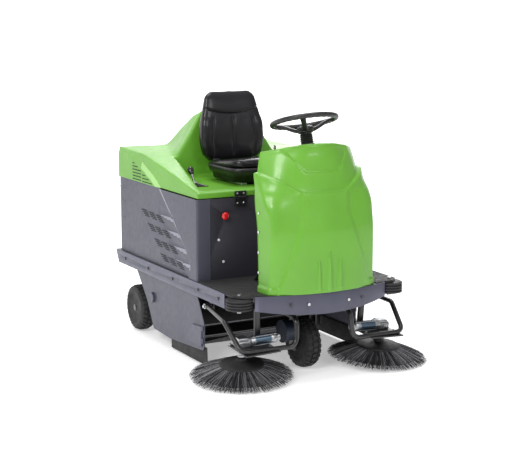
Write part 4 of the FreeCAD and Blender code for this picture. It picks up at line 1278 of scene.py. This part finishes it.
def wheels():
    tyre("front_tyre_rubber", (0, -498, 130), "front_wheel", "front_tyre", 26, True)
    wheel_rim("front_wheel_rim", (0, -498, 130), "front_wheel", "front_rim", 12, ())
    for side, word in SIDES:
        centre = Vector(JOINTS[f"rear_wheel_{word}_spin"]["pos_m"]) / MM
        tyre("rear_tyre_rubber_" + word, centre, "rear_wheel_" + word, "rear_tyre_" + word, 30, False)
        wheel_rim("rear_wheel_rim_" + word, centre, "rear_wheel_" + word, "rear_rim_" + word, 14, (side,))


# ---------------------------------------------------------------- rails, rollers and deck

def rails():
    for name in ("side_rail_right", "side_rail_left", "rear_bumper_rail"):
        refined(name, "chassis", "rail_grey", 1.6)
    refined("front_bumper_rail", "chassis", "rail_grey", 1.6)
    # The front panel takes the darker copy of the panel grey: painted shade.
    for node, slot in (("body_front_panel", "panel_dark"), ("body_rear_panel", "panel_grey"),
                       ("deck_plate", "deck_steel"),
                       ("battery_pack", "battery_case"), ("filter_housing", "filter_case"),
                       ("chassis_frame", "frame_black"), ("front_fork", "frame_black"),
                       ("hopper", "hopper_grey"), ("drive_pedal", "pedal_black"),
                       ("brake_pedal", "pedal_black"), ("side_flap_right", "flap_rubber"),
                       ("side_flap_left", "flap_rubber")):
        body = NODES[node]["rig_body"]
        refined(node, body, slot, 1.2)


def deck_bolts():
    """Zinc bolts at the bow's middle and on the rollers; the others are painted with the rails."""
    for name, slot, bright in (("deck_bolts_zinc", "bolt_zinc", True),
                               ("deck_bolts_dark", "frame_black", False)):
        item = bpy.data.objects.new(name, NODES["deck_bolts"].data.copy())
        SCENE.collection.objects.link(item)
        item.data.name = name
        item.data.materials.clear()
        item.data.materials.append(MATERIALS[slot])
        with edited(item) as work:
            bmesh.ops.delete(work, context="FACES", geom=[f for f in work.faces if bright != is_bright(
                f.calc_center_median() / MM)])
        place_piece(item, "chassis", "bolt_zinc", *(("deck_bolts",) if bright else ()))


def is_bright(place):
    roller = Vector(JOINTS["roller_right_spin"]["pos_m"]) / MM
    return abs(place.x) < 160 or math.hypot(abs(place.x) - abs(roller.x), place.y - roller.y) < 30


def deck_details():
    centre = Vector(JOINTS["roller_right_spin"]["pos_m"]) / MM
    for side, word in SIDES:
        x, y = side * abs(centre.x), centre.y
        profile = [(12, 372), (56, 372), (60, 373.5)]
        for rib in range(4):
            base = 374 + 14.2 * rib
            profile += [(66.2, base + 1.2), (67.8, base + 3.2), (67.8, base + 8.4), (66.2, base + 10.4),
                        (61.5, base + 11.6), (61.5, base + 13.2)]
        profile += [(60, 430), (56, 430.8), (12, 430.8)]
        item = lathe("roller_rubber_" + word, profile, "roller_rubber", (x, y, 0), (0, 0, 1), 64)
        place_piece(item, "roller_" + word, "roller_rubber", "corner_roller_" + word)
    heads = []
    for x, z in ((-346, 648), (-320, 532), (346, 648), (320, 532)):
        heads.append(lathe("screw", [(0, 0), (7.2, 0), (7.2, 1.4), (5, 3.2), (2.4, 3.4), (2.2, 2.2),
                                     (0, 2.2)],
                           "screw_white", (x, panel_screws_front(), z), (0, -1, 0), 24))
    place_piece(merge("panel_screw_heads", heads), "chassis", "screw_white", "panel_screws")
    edge = []
    for side in (-1, 1):
        for z in (836, 742, 640, 540):
            edge.append(lathe("screw", [(0, 0), (6.5, 0), (6.2, 1.6), (4.4, 3.0), (0, 3.2)], "screw_white",
                              (side * 311.2, -592, z), (side, 0, 0), 20))
    place_piece(merge("fairing_screws", edge), "chassis", "screw_white")


def panel_screws_front():
    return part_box("body_front_panel")[0].y / MM


# ---------------------------------------------------------------- side brushes

def brush_frame_of(side):
    """A function from the brush's own millimetres to the machine's."""
    joint = JOINTS["brush_right_spin" if side < 0 else "brush_left_spin"]
    origin = Vector(joint["pos_m"]) / MM
    turn = Vector((0, 0, 1)).rotation_difference(Vector(joint["axis"]).normalized())
    return Matrix.Translation(origin) @ turn.to_matrix().to_4x4()


def side_brush(side, word):
    place = brush_frame_of(side)
    origin, axis = place.translation, place.to_3x3() @ Vector((0, 0, 1))
    draw = random.Random(41 + side)
    points, faces = [], []

    def strand(angle, root, tip, low, sway, wide):
        path = []
        for k in range(5):
            t = k / 4
            a = angle + sway * t * t
            r = root + (tip - root) * t
            z = 60 - 4 * t - (56 - low) * t ** 1.25
            path.append(Vector((r * math.cos(a), r * math.sin(a), z)))
        across = Vector((-math.sin(angle), math.cos(angle), 0))
        start = len(points)
        for k, p in enumerate(path):
            w = wide * (1 - 0.25 * k / 4)
            for offset in (across * w, Vector((0, 0, w * 1.1)), -across * w):
                points.append(place @ (p + offset))
        for k in range(4):
            for s in range(3):
                a, b = start + k * 3 + s, start + k * 3 + (s + 1) % 3
                faces.append((a, b, b + 3, a + 3))
        faces.append((start + 12, start + 13, start + 14))
    for count, root, tip, low in ((560, 104, 262, 3), (520, 96, 252, 6), (420, 84, 236, 2)):
        for k in range(count):
            angle = 2 * math.pi * (k + draw.random() * 0.9) / count
            reach = tip - draw.random() ** 2 * 16
            strand(angle, root + draw.uniform(-3, 3), reach, low + draw.random() * 5,
                   draw.gauss(0, 0.035), draw.uniform(0.75, 1.35))
    strands = add_mesh("bristles_" + word, points, faces, "bristle_black")
    outward(strands)
    place_piece(strands, "brush_" + word, "bristle_black", "side_brush_bristles_" + word)
    under = lathe("bristle_root_" + word, [(50, 46), (100, 46), (150, 31), (205, 12), (206, 15), (152, 37),
                                           (108, 56), (50, 57)], "disc_black", origin, axis, 72)
    place_piece(under, "brush_" + word, "bristle_black")
    disc = [lathe("disc", [(0, 58), (108, 58), (112, 60), (112, 66), (108, 69), (60, 74), (42, 82), (30, 84),
                           (27, 86), (27, 97), (0, 98)], "disc_black", origin, axis, 72)]
    for k in range(40):
        a = 2 * math.pi * k / 40
        out = place.to_3x3() @ Vector((math.cos(a), math.sin(a), 0))
        disc.append(lathe("tuft_ring", [(0, 62), (3.4, 62), (3.4, 69.4), (2.6, 70.4), (0, 70.4)],
                          "disc_black",
                          origin + out * 98, axis, 8))
    disc.append(lathe("spindle", [(0, 90), (7.9, 90), (7.9, 172), (0, 172)], "shaft_steel", origin, axis, 20))
    place_piece(merge("brush_disc_" + word, disc), "brush_" + word, "disc_black", "side_brush_disc_" + word)


def brush_motor(side, word):
    place = brush_frame_of(side)
    turn = place.to_3x3()
    inward = turn @ Vector((-side, 0, 0))
    up = turn @ Vector((0, 0, 1))
    start = place @ Vector((-side * 30, -24, 182))
    parts = [block("case", (-37, -37, 155.4), (37, 37, 190), "motor_aluminium", 7, place),
             block("case_top", (-28, -28, 188), (28, 28, 203), "motor_aluminium", 6, place)]
    for k in range(5):
        x = -26 + 13 * k
        parts.append(block("fin", (x - 1.6, -39, 160), (x + 1.6, 39, 187), "motor_aluminium", 1.2, place))
    for x in (-29, 29):
        for y in (-29, 29):
            parts.append(hexagon("screw", place @ Vector((x, y, 189)), up, 8, 5))
    parts.append(lathe("neck", [(8.2, 100), (17, 100), (19.8, 103), (19.8, 112), (17, 115), (17, 140),
                                (19.8, 144),
                                (19.8, 156), (8.2, 156)], "motor_aluminium",
                       place.translation, up, 36))
    parts.append(lathe("can_front", [(0, 2), (26, 2), (26.5, 4), (26.5, 26), (25, 28), (0, 28)],
                       "motor_aluminium", start, inward, 48))
    parts.append(lathe("can", [(0, 26), (25.4, 26), (25.4, 116), (0, 116)], "motor_blue", start, inward, 48))
    parts.append(lathe("can_end", [(0, 114), (26, 114), (26.5, 116), (26.5, 142), (24, 148), (21, 150),
                                   (21, 166), (18, 168), (0, 168)], "motor_aluminium", start, inward, 48))
    for k in range(3):
        a = 2 * math.pi * k / 3
        out = turn @ Vector((0, math.cos(a), math.sin(a)))
        parts.append(lathe("tie", [(0, 10), (2.4, 10), (2.4, 146), (0, 146)], "bolt_zinc",
                           start + out * 26.2, inward, 12))
    item = merge("brush_gear_motor_" + word, parts)
    place_piece(item, "frame_" + word, "motor_aluminium", "side_brush_motor_" + word)


def frame_details(side, word):
    """Spring strut, bolts and pin heads on the bent brush frame."""
    place = brush_frame_of(side)
    low = place @ Vector((-side * 104, 32, 155.2))
    axis = place.to_3x3() @ Vector((0, 0, 1))
    parts = [lathe("strut_foot", [(0, 0), (15, 0), (16, 3), (16, 12), (10, 14), (0, 14)], "frame_black", low,
                   axis, 32),
             lathe("strut_rod", [(0, 10), (6, 10), (6, 148), (0, 148)], "shaft_steel", low, axis, 20)]
    first, second = frame_on(axis)[1:]
    coil = [low + axis * (14 + 120 * k / 180)
            + (first * math.cos(k * 0.42) + second * math.sin(k * 0.42)) * 14
            for k in range(181)]
    parts.append(tube("coil", coil, 2.4, "frame_black", 8))
    for x, y in ((side * 42, -66), (side * 42, 42), (-side * 126, -66), (-side * 126, 42)):
        parts.append(hexagon("bolt", place @ Vector((x, y, 155.1)), axis, 11, 7))
    for x in (455, 167):
        base = Vector((side * x, -310, 329))
        for way in (-1, 1):
            parts.append(hexagon("pin", base + Vector((way * 15.2, 0, 0)), (way, 0, 0), 16, 8))
    item = merge("brush_frame_fittings_" + word, parts)
    place_piece(item, "frame_" + word, "frame_black")


# ---------------------------------------------------------------- CAD sub-parts that keep their shape

def keep_cad():
    for record in frame["record"]["subparts"]:
        node = NODES[record["node"]]
        for slot in node.material_slots:
            slot.material = MATERIALS[record["material_slot"]]


def flat_sheet(name, corners, ground):
    """A plain studio surface that isn't part of the object."""
    item = add_mesh(name, corners, [(0, 1, 2, 3)], "screw_white", False)
    item.data.materials.clear()
    item.data.materials.append(ground.material)


def floor():
    reach, wall_y, under = 14000, 9000, -0.5
    white = (1, 1, 1, 1)
    ground = Shader("floor_paper", Emission_Color=white, Emission_Strength=0.38)
    tone = ground.ramp(ground.noise(0.8), 0.3, 0.7, 0, 1)
    ground.colour(ground.mix(tone, (0.86, 0.86, 0.86), (0.9, 0.9, 0.9)))
    ground.rough(ground.ramp(ground.noise(4.0), 0.3, 0.7, 0.75, 0.9))
    flat_sheet("floor", [(-reach, -reach, under), (reach, -reach, under),
                         (reach, reach, under), (-reach, reach, under)], ground)
    paper = Shader("backdrop_light", Emission_Color=white, Emission_Strength=1.0)
    paper.rough(paper.ramp(paper.noise(2.0), 0.3, 0.7, 0.8, 0.9))
    flat_sheet("backdrop", [(-reach, wall_y, -600), (reach, wall_y, -600),
                            (reach, wall_y, 9000), (-reach, wall_y, 9000)], paper)


stage()
floor()
keep_cad()
front_fairing()
hood_cover()
hood_louvres()
for flank, flank_name in SIDES:
    body_side(flank, flank_name)
    side_brush(flank, flank_name)
    brush_motor(flank, flank_name)
    frame_details(flank, flank_name)
hinge_details()
stop_button()
seat_back()
seat_pan()
seat_cushion()
steering()
dash()
lever()
wheels()
rails()
deck_bolts()
deck_details()
